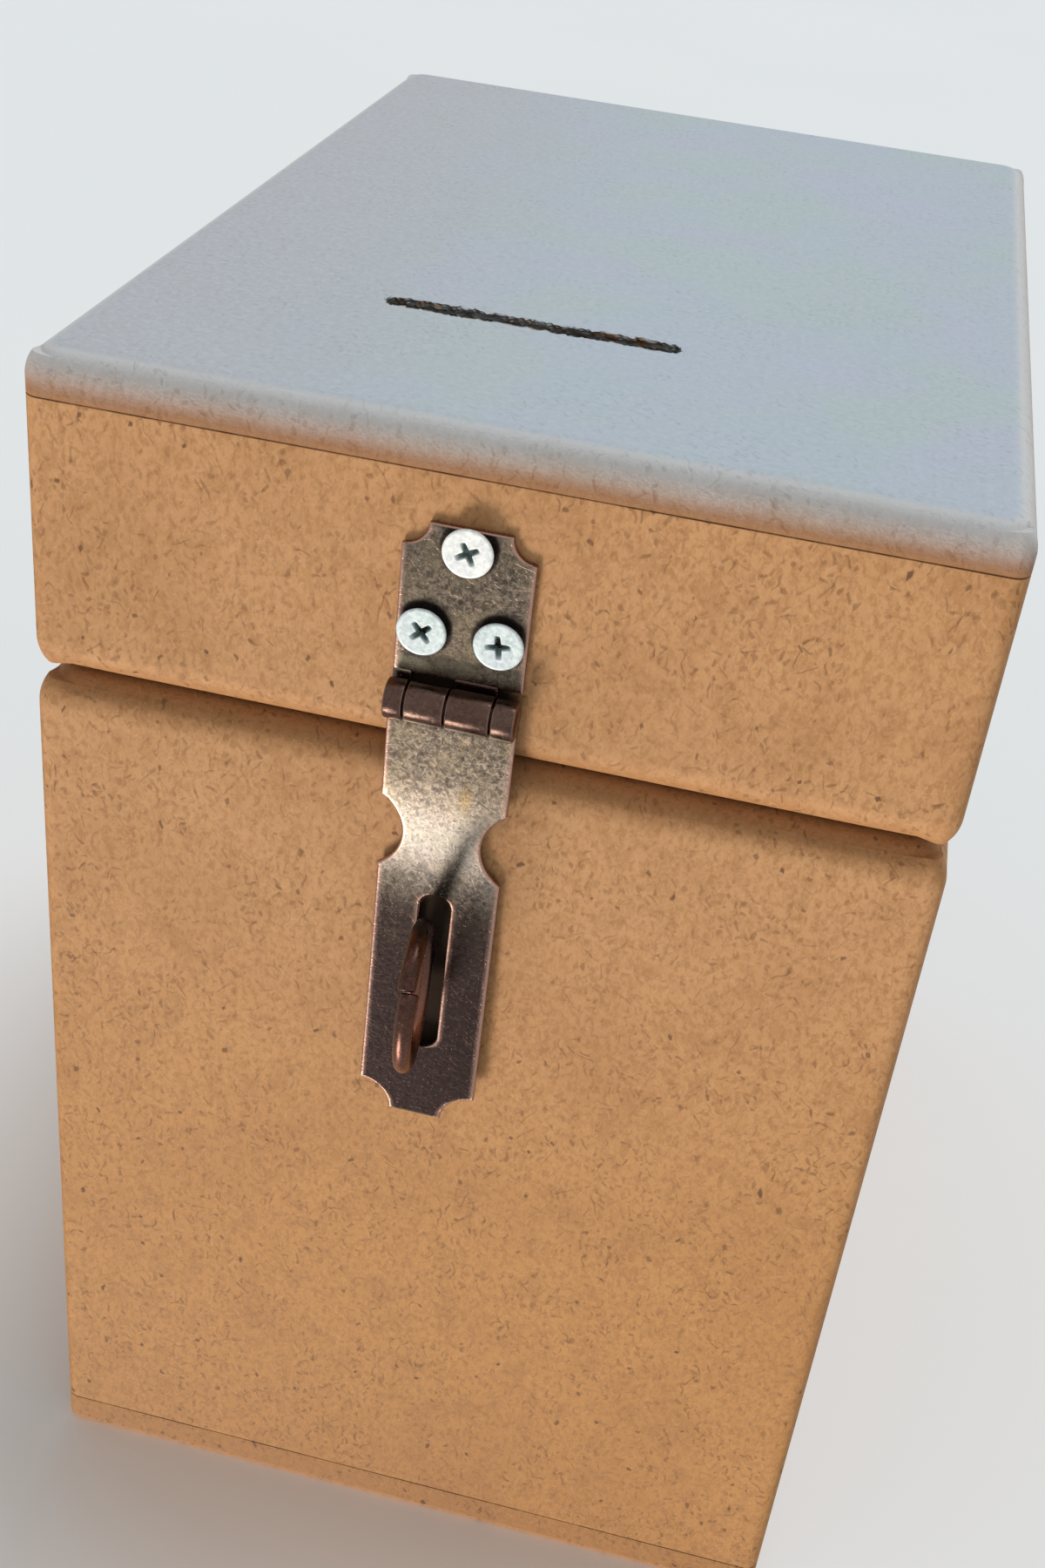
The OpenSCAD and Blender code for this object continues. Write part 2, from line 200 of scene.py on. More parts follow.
boardFinish = {
    "tan": (186, 139, 94), "pale": (202, 157, 112), "dark": (154, 106, 62), "fibre": (104, 66, 34),
    "light": (208, 166, 122), "core": (160, 112, 68), "seam": (92, 58, 34), "speck": (88, 54, 30),
    "low": (184, 132, 76), "lowFrom": 190, "lowTo": 70,   # the yellower tone towards the foot of the box
    "rough": 0.7, "specular": 0.25,
    "cloud": 30, "patch": 4.2, "mottle": 1.25, "fine": 0.5,   # sizes of the unevenness
    "upright": 1.5,                 # how much longer than wide the marks of the board are
    "bendSize": 3.2, "bend": 1.1,   # size and strength of the waves that curve the fibres
    "clusterSize": 13,              # size of the areas with more and with fewer fibres
    "seamSize": 11,                 # size of the darker and paler stretches of a seam
    "rimBottom": 198.15, "rimTop": 204.5,   # heights of the lid's rounded rim, darkened there as painted shade
}

boardShares = {
    "even": 0.36, "patch": 0.4, "fine": 0.42, "cloud": 0.22, "core": 0.45, "rim": 0.55, "seam": 0.75,
    "hairs": 0.38, "threads": 0.34, "crumbs": 0.38, "most": 0.7, "paleHairs": 0.2, "specks": 0.85,
}

fibres = {
    # spacing, length, width, and the share of the spots that have one
    "hairs": (2.5, 2.1, 0.26, 0.5),
    "threads": (5.0, 4.2, 0.19, 0.4),
    "crumbs": (1.5, 1.2, 0.42, 0.36),
    "paleHairs": (2.2, 2.2, 0.2, 0.4),
    "specks": (4.4, 1.1, 0.46, 0.2),
}

# The top board's painted reflection: a pale blue-grey sheen of cool light over its top, with a painted highlight
# band and painted shade low in the rounding
paintedSheenFinish = {
    "base": (179, 187, 195), "green": (178, 189, 188), "violet": (184, 184, 199), "warm": (180, 180, 182),
    "fibre": (138, 142, 146), "pale": (194, 200, 206), "edge": (136, 94, 62), "rim": (206, 203, 199),
    "slotWall": (126, 126, 122), "slotCore": (134, 100, 72), "slotLip": (188, 180, 156),
    "greenSize": 38, "violetSize": 24, "raggedSize": 16, "wallSize": 3.2,
    "warmFrom": 10, "warmTo": -70,   # warmer towards the left side
    "from": 248.9, "to": 257.0,      # heights between which the painted sheen begins on the top board
    "rimRise": (250.6, 254.2), "rimFall": (256.79, 256.2),   # heights of its palest band, a painted highlight
    "edgeShare": 0.72, "violetShare": 0.55, "paleShare": 0.4, "rimShare": 0.85, "lipShare": 0.6,
    "fibreShare": 0.42, "speckShare": 0.25,
}

# A painted shadow: tone, share, raggedness and reach of the dark patch behind the hasp, and how much rougher it is
paintedShadowMark = {"tone": (22, 15, 11), "share": 0.97, "ragged": 0.5, "from": 1.15, "to": 0.8, "rougher": 0.3}


def paintedSheenOver(f, colour, flat, height, mottle, fine, marks, specks):
    # The top board's pale blue-grey sheen, a painted reflection of cool light from above, over a board darkened
    # brown as painted shade: three faint tones in broad areas, a ragged lower limit in the rounding, a paler band
    # high in the rounding as a painted highlight, paler lips and grey walls in the coin slot
    s = paintedSheenFinish
    ragged = (mottle - 0.5) * 1.8 + (f.noise(flat, s["raggedSize"]) - 0.5) * 1.2 - marks * 1.2
    level = (height + ragged).rise(s["from"], s["to"])
    # Painted shade: the whole top board is darkened towards brown, which shows below the painted sheen and low in
    # the rounding
    colour = f.mix(s["edgeShare"], colour, s["edge"])
    tint = f.mix(f.noise(flat, s["greenSize"]).rise(0.42, 0.62), s["green"], s["base"])
    tint = f.mix(f.noise(flat, s["violetSize"], 1).rise(0.5, 0.72) * s["violetShare"], tint, s["violet"])
    tint = f.mix(height.beside(0).rise(s["warmFrom"], s["warmTo"]), tint, s["warm"])
    tint = f.mix(mottle.rise(0.42, 0.66) * s["paleShare"], tint, s["pale"])
    # Painted highlight: a paler band high in the rounding
    paintedRimLight = height.rise(*s["rimRise"]) * height.rise(*s["rimFall"])
    tint = f.mix(paintedRimLight * s["rimShare"], tint, s["rim"])
    tint = f.mix(marks * s["fibreShare"] + specks * s["speckShare"], tint, s["fibre"])
    inSlot = f.attribute("slot")
    colour = f.mix(level * (1 - inSlot), colour, tint)
    colour = f.mix(f.attribute("lip") * s["lipShare"] * fine.rise(0.35, 0.55), colour, s["slotLip"])
    wall = f.mix(f.noise(flat, s["wallSize"], 2, 0.6).rise(0.5, 0.66), s["slotWall"], s["slotCore"])
    return f.mix(inSlot, colour, wall)


def makeBoardFinish(name, paintedSheen=False, shadowPatch=None):
    # Fibreboard: tan with dark and pale mottling of four sizes, yellower towards the foot and darker in its core,
    # and over it three kinds of dark fibres in clusters, pale fibres and specks. The last argument is the middle
    # and the half sizes of a painted shadow: a dark patch behind the hasp's moving metal, where the board lies in
    # shade.
    s, share = boardFinish, boardShares
    f = Finish(name, Roughness=s["rough"], Specular_IOR_Level=s["specular"])
    flat = f.place()
    tall = f.place((1, 1, s["upright"]))
    normal = f.add("ShaderNodeTexCoord", output=1)
    wave = f.add("ShaderNodeTexNoise", None, {"Vector": flat, "Scale": 1 / s["bendSize"], "Detail": 1}, 1)
    curl = f.vector("SCALE", f.vector("SUBTRACT", wave, (0.5, 0.5, 0.5)), scale=s["bend"] * 2)
    bent = f.vector("ADD", tall, curl)
    cloud = f.noise(flat, s["cloud"])
    patch = f.noise(tall, s["patch"], 3, 0.6, 0.4)
    mottle = f.noise(tall, s["mottle"], 4, 0.66, 0.5)
    fine = f.noise(tall, s["fine"], 2, 0.6)
    height = f.add("ShaderNodeSeparateXYZ", None, {"Vector": flat}, 2)
    tan = f.mix(height.rise(s["lowFrom"], s["lowTo"]), s["tan"], s["low"])
    colour = f.mix(mottle.rise(0.34, 0.58), s["dark"], tan)
    colour = f.mix(share["even"], colour, tan)
    colour = f.mix(patch.rise(0.46, 0.7) * share["patch"], colour, s["dark"])
    colour = f.mix(fine.rise(0.5, 0.74) * share["fine"], colour, s["pale"])
    colour = f.mix(cloud.rise(0.4, 0.7) * share["cloud"], colour, s["dark"])
    core = f.attribute("depth").rise(0.2, 1.0)
    colour = f.mix(core * share["core"], colour, s["core"])
    # Painted shade: the lid's lower rounded rim is darkened against the light that the key lamp throws on it from
    # below
    lidRimShade = height.rise(s["rimTop"], s["rimBottom"] + 1) * height.rise(s["rimBottom"], s["rimBottom"] + 0.1)
    colour = f.mix(lidRimShade * share["rim"], colour, s["dark"])
    hairs, threads, crumbs, paleHairs, specks = (strands(f, bent, normal, *kind) for kind in fibres.values())
    clusters = 0.5 + 0.85 * f.noise(flat, s["clusterSize"]).rise(0.36, 0.62)
    marks = hairs * share["hairs"] + threads * share["threads"] + crumbs * share["crumbs"]
    marks = (marks * clusters).least(share["most"])
    colour = f.mix(paleHairs * share["paleHairs"], colour, s["light"])
    colour = f.mix(marks, colour, s["fibre"])
    colour = f.mix(specks * share["specks"], colour, s["speck"])
    # Painted reflection: the pale blue-grey sheen of the top board
    if paintedSheen:
        colour = paintedSheenOver(f, colour, flat, height, mottle, fine, marks, specks)
    # Painted shadow: a dark patch where the board lies in shade behind the hasp
    if shadowPatch is not None:
        reach = f.reach(f.vector("SUBTRACT", flat, shadowPatch[0]), shadowPatch[1])
        shadowed = (reach + (patch - 0.5) * paintedShadowMark["ragged"]).rise(paintedShadowMark["from"], paintedShadowMark["to"])
        colour = f.mix(shadowed * paintedShadowMark["share"], colour, paintedShadowMark["tone"])
        f.feed(Roughness=s["rough"] + shadowed * paintedShadowMark["rougher"])
    seam = f.attribute("seam") * (0.2 + 0.8 * f.noise(flat, s["seamSize"], 3).rise(0.36, 0.62))
    colour = f.mix(seam * share["seam"], colour, s["seam"])
    f.feed(Base_Color=colour)
    f.bump(mottle * 0.05 + fine * 0.03 - marks * 0.05 + core * f.noise(flat, s["fine"]) * 0.12, 0.8)
    return f.material


plateFinish = {
    # Two of the tones are painted light: the pale grey one at (119, 117, 113) is a painted highlight, the dark one
    # at (48, 37, 35) is painted shade
    "low": (69, 60, 54), "high": (131, 119, 104), "warm": (116, 104, 82), "rust": (78, 53, 47),
    "bright": (172, 136, 122), "paintedShade": (48, 37, 35), "paintedGloss": (119, 117, 113), "pit": (44, 36, 33),
    "metallic": 0.95, "rough": 0.27, "grain": 0.8,
    "patchShare": 0.4, "scratchShare": 0.42, "brightShare": 0.34, "rustShare": 0.75, "pitShare": 0.5,
    "duskShare": 0.9, "duskGloss": 0.07, "duskDull": 0.1,
    # spacing, length, width, and the share of the spots that have one
    "longScratches": (3.6, 5.0, 0.05, 0.6), "shortScratches": (1.5, 1.9, 0.045, 0.5),
    "pits": (0.9, 0.5, 0.11, 0.3),
}


def makeMetalFinish(name, ellipses=(), **changes):
    # Antiqued plating: two mottled tones, a warm one in patches, pits and fine scratches; darker by a mask that is
    # painted shade, paler by a mask that is a painted highlight, browner where "rolled" is 1, and bright metal by
    # a mask that is partly wear and partly painted light.
    # An ellipse in the plate, for stains and for painted shade and reflection: its middle, half sizes, turn in
    # degrees, tone, share and softness.
    s = {**plateFinish, **changes}
    f = Finish(name, Metallic=s["metallic"])
    flat = f.place()
    normal = f.add("ShaderNodeTexCoord", output=1)
    mottle = f.noise(flat, s["grain"], 4, 0.7, 0.6)
    broad = f.noise(flat, s["grain"] * 7)
    fine = f.noise(flat, s["grain"] * 0.28, 3, 0.7)
    scratch = strands(f, flat, normal, *s["longScratches"]) + strands(f, flat, normal, *s["shortScratches"])
    scratch = scratch.least(1)
    pits = strands(f, flat, normal, *s["pits"])
    rolled = f.attribute("rolled")
    paintedShade = f.attribute("paintedShade")
    colour = f.mix(mottle.rise(0.32, 0.68), s["low"], s["high"])
    colour = f.mix(broad.rise(0.42, 0.66) * s["patchShare"], colour, s["warm"])
    # Painted shade: darker where the shade mask is 1
    colour = f.mix(paintedShade * s["duskShare"], colour, s["paintedShade"])
    # Painted highlight: paler where the gloss mask is 1
    colour = f.mix(f.attribute("paintedGloss") * (0.35 + 0.5 * fine), colour, s["paintedGloss"])
    colour = f.mix(rolled * s["rustShare"], colour, s["rust"])
    colour = f.mix(fine.rise(0.58, 0.76) * (s["brightShare"] - paintedShade * s["duskDull"]), colour, s["bright"])
    colour = f.mix(scratch * s["scratchShare"] * (1 - rolled) * (1 - paintedShade * 0.7), colour, s["bright"])
    colour = f.mix(pits * s["pitShare"], colour, s["pit"])
    for middle, half, turn, tone, share, soft in ellipses:
        away = f.add("ShaderNodeVectorRotate", {"rotation_type": "Y_AXIS"},
                     {"Vector": f.vector("SUBTRACT", flat, middle), "Angle": np.radians(turn)})
        reach = f.reach(away, half) + (broad - 0.5) * soft
        colour = f.mix(reach.rise(1 + soft, 1 - soft) * share, colour, tone)
    wearAndLight = (f.attribute("wearAndLight") * (0.4 + 0.9 * fine)).least(1)
    colour = f.mix(wearAndLight, colour, s["bright"])
    rough = s["rough"] + (mottle - 0.5) * 0.2 + pits * 0.2 - rolled * 0.08 - paintedShade * s["duskGloss"]
    f.feed(Base_Color=colour, Roughness=rough)
    f.bump(mottle * 0.03 + fine * 0.012 - scratch * 0.01 - pits * 0.03, 0.9)
    return f.material


zincFinish = {"metallic": 0.2, "rough": 0.42, "grain": 0.8, "violet": (196, 196, 210), "violetSize": 3,
              "violetShare": 0.3, "recess": (96, 118, 114), "recessShare": 0.9}


def makeZincFinish(name, shade, pale):
    # White zinc: pale and matte, in two mottled tones with a violet one in patches, and darker grey-green in the
    # cross, where "recess" is 1, which is painted shade
    s = zincFinish
    f = Finish(name, Metallic=s["metallic"])
    flat = f.place()
    mottle = f.noise(flat, s["grain"], 4, 0.65)
    colour = f.mix(mottle.rise(0.32, 0.68), shade, pale)
    colour = f.mix(f.noise(flat, s["violetSize"]).rise(0.45, 0.7) * s["violetShare"], colour, s["violet"])
    colour = f.mix(f.attribute("recess").rise(0.04, 0.5) * s["recessShare"], colour, s["recess"])
    f.feed(Base_Color=colour, Roughness=s["rough"] + (mottle - 0.5) * 0.25)
    f.bump(mottle * 0.03)
    return f.material


def gridShell(points, wrap=True):
    # The quads of a grid of points, shaped (rows, columns, 3), whose columns may close on themselves
    rows, cols = points.shape[:2]
    i = np.arange(rows - 1)[:, None]
    j = np.arange(cols if wrap else cols - 1)[None, :]
    nextJ = (j + 1) % cols
    quads = np.stack([i * cols + j, i * cols + nextJ, (i + 1) * cols + nextJ, (i + 1) * cols + j], -1)
    return points.reshape(-1, 3), quads.reshape(-1, 4)


joining = {"merge": 2e-6, "sliver": 1e-7, "sharp": 50}   # two distances in metres, and an angle in degrees


def addPiece(name, shells, material, body, node, masks):
    # Joins shells of points in millimetres and quads into one closed mesh, and ties it to its body. The
    # masks, one number per point, are the attributes that the finishes read.
    starts = np.cumsum([0] + [len(p) for p, q in shells[:-1]])
    points = np.concatenate([p for p, q in shells]) * mm
    quads = np.concatenate([q + s for (p, q), s in zip(shells, starts)])
    mesh = bpy.data.meshes.new(name)
    mesh.vertices.add(len(points))
    mesh.vertices.foreach_set("co", points.astype(np.float32).ravel())
    mesh.loops.add(quads.size)
    mesh.loops.foreach_set("vertex_index", quads.astype(np.int32).ravel())
    mesh.polygons.add(len(quads))
    mesh.polygons.foreach_set("loop_start", np.arange(0, quads.size, 4, dtype=np.int32))
    mesh.update(calc_edges=True)
    for mask, numbers in masks.items():
        layer = mesh.attributes.new(mask, "FLOAT", "POINT")
        layer.data.foreach_set("value", np.asarray(numbers, np.float32))
    made = bmesh.new()
    made.from_mesh(mesh)
    bmesh.ops.remove_doubles(made, verts=made.verts, dist=joining["merge"])
    bmesh.ops.dissolve_degenerate(made, edges=made.edges, dist=joining["sliver"])
    bmesh.ops.recalc_face_normals(made, faces=made.faces)
    made.to_mesh(mesh)
    made.free()
    mesh.polygons.foreach_set("use_smooth", np.ones(len(mesh.polygons), bool))
    mesh.set_sharp_from_angle(angle=np.radians(joining["sharp"]))
    mesh.materials.append(material)
    piece = bpy.data.objects.new(name, mesh)
    bpy.context.scene.collection.objects.link(piece)
    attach(piece, body)
    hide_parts(node)


boards = {
    "corner": 3, "foot": 2, "rim": 6.5, "top": 5,   # radii of the outer edges
    "blend": 1.4,                 # how much wider the outline's corners are there
    "seam": 0.24,                 # radius where two boards meet
    "steps": 9, "beside": 0.3,    # grid lines across a rounded edge, and how far beyond it the next one lies
    "coarse": 14,                 # widest spacing of grid lines
    "same": 0.05, "near": 1e-3,   # distances within which faces and points count as one
}

coinSlot = {
    "x": -8, "fromFront": 51, "length": 53, "width": 4.6,
    "edge": 0.45, "step": 4,      # radius of its edges, spacing of the grid lines along it
    "wobble": 0.85, "wobbleReach": 1.2, "lip": 1.3,   # raggedness, and how far that and the pale lip reach
}


def linesBetween(low, high, zones):
    # Grid lines from low to high: even ones, and in each zone (start, end) closer ones
    lines = [np.linspace(low, high, max(2, int((high - low) / boards["coarse"]) + 1))]
    lines += [np.linspace(start, end, boards["steps"]) for start, end in zones]
    merged = np.unique(np.round(np.concatenate(lines), 4))
    return merged[(merged >= low - 1e-6) & (merged <= high + 1e-6)]


def slotZones(slot, axis, top):
    # Zones of closer lines round the coin slot: at its edges, its round ends and all along it
    (low, high), edge = slot, coinSlot["edge"]
    if axis == 2:
        return [(top - edge, top)]
    zones = [(place, place + inward * edge) for place, inward in ((low[axis], -1), (high[axis], 1))]
    zones += [(low[axis] - edge - boards["beside"],) * 2, (high[axis] + edge + boards["beside"],) * 2]
    if axis == 1:
        return zones + [(low[1], high[1])]
    endR, step = (high[1] - low[1]) / 2, coinSlot["step"]
    zones += [(x, x + step) for x in np.arange(low[0], high[0] - step, step)]
    return zones + [(low[0], low[0] + endR), (high[0] - endR, high[0])]


def boardLines(low, high, block, radii, slot):
    # Grid lines along each axis: closer ones where an edge is rounded and round the coin slot
    lines = []
    for axis in range(3):
        zones = [] if slot is None else slotZones(slot, axis, high[2])
        for place, inward, outer in ((low[axis], 1, block[0][axis]), (high[axis], -1, block[1][axis])):
            reaches = [boards["seam"]]
            if abs(place - outer) < boards["same"]:
                reaches += [boards["corner"], *radii]
            zones += [(place, place + inward * reach) for reach in reaches]
            zones += [(place + inward * (max(reaches) + boards["beside"]),) * 2]
        lines.append(linesBetween(low[axis], high[axis], zones))
    return lines


def cellSolid(xs, ys, zs, filled):
    # The outside of the filled cells of a box-shaped grid: a quad wherever a filled cell meets an empty one
    corner = np.arange(len(xs) * len(ys) * len(zs)).reshape(len(xs), len(ys), len(zs))
    quads = []
    for axis in range(3):
        padded = np.pad(filled, [(1, 1) if a == axis else (0, 0) for a in range(3)])
        step = np.moveaxis(np.diff(padded.astype(int), axis=axis), axis, 0)
        ids = np.moveaxis(corner, axis, 0)
        ring = np.stack([ids[:, :-1, :-1], ids[:, 1:, :-1], ids[:, 1:, 1:], ids[:, :-1, 1:]], -1)
        quads += [ring[step == -1], ring[step == 1][:, ::-1]]
    used, quads = np.unique(np.concatenate(quads), return_inverse=True)
    x, y, z = np.meshgrid(xs, ys, zs, indexing="ij")
    points = np.stack([x, y, z], -1).reshape(-1, 3)[used]
    return points, quads.reshape(-1, 4)


def roundEdge(points, edge, radius, where=None):
    # edge is (axis, place, inward) twice. Square rings round the edge's centre line become circles:
    # both distances u and v from that line are scaled by max(u, v) / hypot(u, v).
    (a, placeA, inA), (b, placeB, inB) = edge
    u = radius - inA * (points[:, a] - placeA)
    v = radius - inB * (points[:, b] - placeB)
    inside = (u > 0) & (v > 0) & (u <= radius + 1e-6) & (v <= radius + 1e-6)
    if where is not None:
        inside &= where
    u, v = u[inside], v[inside]
    scale = np.maximum(u, v) / np.hypot(u, v)
    points[inside, a] = placeA + inA * (radius - u * scale)
    points[inside, b] = placeB + inB * (radius - v * scale)


def roundSeams(points, start, low, high, block):
    # Rounds the edges where two boards meet. The mask is 1 along those that lie on the outside of the box.
    seam, ends = boards["seam"], (low, high)
    outer = np.abs(low - block[0]) < boards["same"], np.abs(high - block[1]) < boards["same"]
    mask = np.zeros(len(points))
    for a, b in ((0, 1), (0, 2), (1, 2)):
        for sideA, sideB in ((0, 0), (0, 1), (1, 0), (1, 1)):
            outside = outer[sideA][a], outer[sideB][b]
            if all(outside):
                continue
            placeA, placeB = ends[sideA][a], ends[sideB][b]
            if any(outside):
                off = np.maximum(np.abs(start[:, a] - placeA), np.abs(start[:, b] - placeB))
                mask[off < seam * 0.7] = 1
            roundEdge(points, ((a, placeA, 1 - 2 * sideA), (b, placeB, 1 - 2 * sideB)), seam)
    return mask


def waves(points, seed, size):
    # A smooth random field: the mean of twelve sine waves of random direction and about that size
    dice = np.random.default_rng(seed)
    aims = dice.normal(size=(12, 3)) * 2 * np.pi / size
    return np.sin(points @ aims.T + dice.uniform(0, 2 * np.pi, 12)).mean(1) * 1.6


def cutSlot(points, start, top, slot):
    # Rounds the coin slot's edges, draws its walls together by (1 - t^3)^(1/3) at both ends, and makes its
    # outline ragged with waves. The masks are 1 on its walls, and on its lip on the top.
    s, near, (low, high) = coinSlot, boards["near"], slot
    walls = np.all((start[:, :2] > low - near) & (start[:, :2] < high + near), 1)
    for axis, other in ((0, 1), (1, 0)):
        span = (start[:, other] > low[other] - near) & (start[:, other] < high[other] + near)
        for place, inward in ((low[axis], -1), (high[axis], 1)):
            roundEdge(points, ((axis, place, inward), (2, top, -1)), s["edge"], span)
    half, middle = (high[1] - low[1]) / 2, (high[1] + low[1]) / 2
    off = start[:, 1] - middle
    fromEnd = np.minimum(start[:, 0] - low[0], high[0] - start[:, 0])
    t = np.clip(1 - fromEnd / half, 0, 1)
    drawn = half * (1 - np.cbrt(1 - t ** 3))
    atEnd = (np.abs(off) < half + s["edge"] + 0.01) & (fromEnd > -s["edge"] - 0.01) & (t > 0)
    points[atEnd, 1] -= (np.sign(off) * np.minimum(drawn, np.abs(off)))[atEnd]
    reach = np.linalg.norm(np.maximum(0, np.maximum(low - start[:, :2], start[:, :2] - high)), axis=1)
    onTop = np.abs(start[:, 2] - top) < near
    fade = np.clip(1 - reach / s["wobbleReach"], 0, 1) * s["wobble"]
    smooth = points.copy()
    points[:, 1] += (waves(smooth, 7, 2.6) + 0.6 * waves(smooth, 17, 1.1)) * fade
    points[:, 0] += waves(smooth, 8, 2.2) * fade * 0.5
    points[:, 2] -= np.abs(waves(smooth, 9, 1.8)) * fade * 0.4 * onTop
    return walls, np.clip(1 - reach / s["lip"], 0, 1) * onTop


def roundBlock(points, low, high, footR, headR):
    # The upright corners first. Then the edges round the foot and the head: inside is the distance from the
    # outline, a rectangle whose corners are blended with a circle, and square rings of that distance and of
    # the height become circles, as in roundEdge.
    for x, inX in ((low[0], 1), (high[0], -1)):
        for y, inY in ((low[1], 1), (high[1], -1)):
            roundEdge(points, ((0, x, inX), (1, y, inY)), boards["corner"])
    for z, inZ, radius in ((low[2], 1, footR), (high[2], -1, headR)):
        blendR = radius + boards["blend"]
        middle, half = (low + high)[:2] / 2, (high - low)[:2] / 2
        side = np.sign(points[:, :2] - middle)
        wall = half - np.abs(points[:, :2] - middle)
        toCentre = np.maximum(blendR - wall, 0)
        inCorner = (toCentre > 0).all(1)
        reach = np.maximum(np.hypot(*toCentre.T), 1e-9)
        inside = np.where(inCorner, blendR - reach, wall.min(1))
        aim = np.where(inCorner[:, None], toCentre / reach[:, None], np.eye(2)[np.argmin(wall, 1)])
        u, v = radius - inside, radius - inZ * (points[:, 2] - z)
        zone = (u > 0) & (v > 0) & (v <= radius + 1e-6)
        scale = np.where(zone, np.maximum(u, v) / np.maximum(np.hypot(u, v), 1e-9), 1)
        points[:, :2] -= side * aim * (u * (1 - scale) * zone)[:, None]
        points[:, 2] += inZ * v * (1 - scale) * zone


def makeBoard(node, thin, block, radii, body, material, slot=None):
    # A box-shaped grid whose seam edges are slightly rounded, and whose outer edges are bent with the whole
    # box part: block is its lowest and highest corner, radii those of its foot and head. thin is the axis
    # across the board, and the mask "depth" the distance from its nearer face.
    low, high = boxOf(node)
    lines = boardLines(low, high, block, radii, slot)
    middles = [(line[1:] + line[:-1]) / 2 for line in lines]
    filled = np.ones([len(m) for m in middles], bool)
    if slot is not None:
        inX, inY = ((middles[a] > slot[0][a]) & (middles[a] < slot[1][a]) for a in (0, 1))
        filled[np.ix_(inX, inY)] = False
    points, quads = cellSolid(*lines, filled)
    start = points.copy()
    seam = roundSeams(points, start, low, high, block)
    walls, lip = np.zeros(len(points)), np.zeros(len(points))
    if slot is not None:
        walls, lip = cutSlot(points, start, high[2], slot)
    roundBlock(points, *block, *radii)
    depth = np.minimum(points[:, thin] - low[thin], high[thin] - points[:, thin])
    addPiece(node + "_board", [(points, quads)], material, body, node,
             {"depth": depth, "seam": seam, "slot": walls, "lip": lip})


frontHigh, baseHigh = boxOf("body_front_panel")[1], boxOf("body_base")[1]
bodyBlock = boxOf("body_base")[0], np.array([frontHigh[0], baseHigh[1], frontHigh[2]])
lidTopLow, lidTopHigh = boxOf("lid_top_panel")
lidBlock = np.array([lidTopLow[0], lidTopLow[1], boxOf("lid_front_panel")[0][2]]), lidTopHigh
bodyRadii, lidRadii = (boards["foot"], boards["rim"]), (boards["rim"], boards["top"])
slotMiddle = np.array([coinSlot["x"], lidTopLow[1] + coinSlot["fromFront"]])
slotHalf = np.array([coinSlot["length"], coinSlot["width"]]) / 2

# middle and half sizes of the painted shadows behind the strap's slot and behind the barrel
behindStrap = (haspAxis[0], frontY, haspAxis[2] - 58.2), (5.2, 4, 21)
behindBarrel = (haspAxis[0] - 0.2, frontY, haspAxis[2] + 1.9), (10.6, 4, 2.7)
fibreboard = makeBoardFinish("fibreboard")
frontBoard = makeBoardFinish("bodyFrontFibreboard", shadowPatch=behindStrap)
lidFrontBoard = makeBoardFinish("lidFrontFibreboard", shadowPatch=behindBarrel)
# The top board's finish carries a painted reflection, a pale blue-grey sheen of cool light
sheenPaintedBoard = makeBoardFinish("sheenPaintedFibreboard", paintedSheen=True)

for node, thin, finish in (("body_base", 2, fibreboard), ("body_front_panel", 1, frontBoard),
                           ("body_back_panel", 1, fibreboard), ("body_left_panel", 0, fibreboard),
                           ("body_right_panel", 0, fibreboard)):
    makeBoard(node, thin, bodyBlock, bodyRadii, "box", finish)
for node, thin, finish in (("lid_front_panel", 1, lidFrontBoard), ("lid_back_panel", 1, fibreboard),
                           ("lid_left_panel", 0, fibreboard), ("lid_right_panel", 0, fibreboard)):
    makeBoard(node, thin, lidBlock, lidRadii, "lid", finish)
makeBoard("lid_top_panel", 2, lidBlock, lidRadii, "lid", sheenPaintedBoard,
          (slotMiddle - slotHalf, slotMiddle + slotHalf))
print("boards made")


def between(x, start, end):
    # 0 at start and 1 at end, even in between
    return np.clip((x - start) / (end - start), 0, 1)


def soften(t):
    # 3t^2 - 2t^3, which is level at 0 and at 1
    return 3 * t ** 2 - 2 * t ** 3


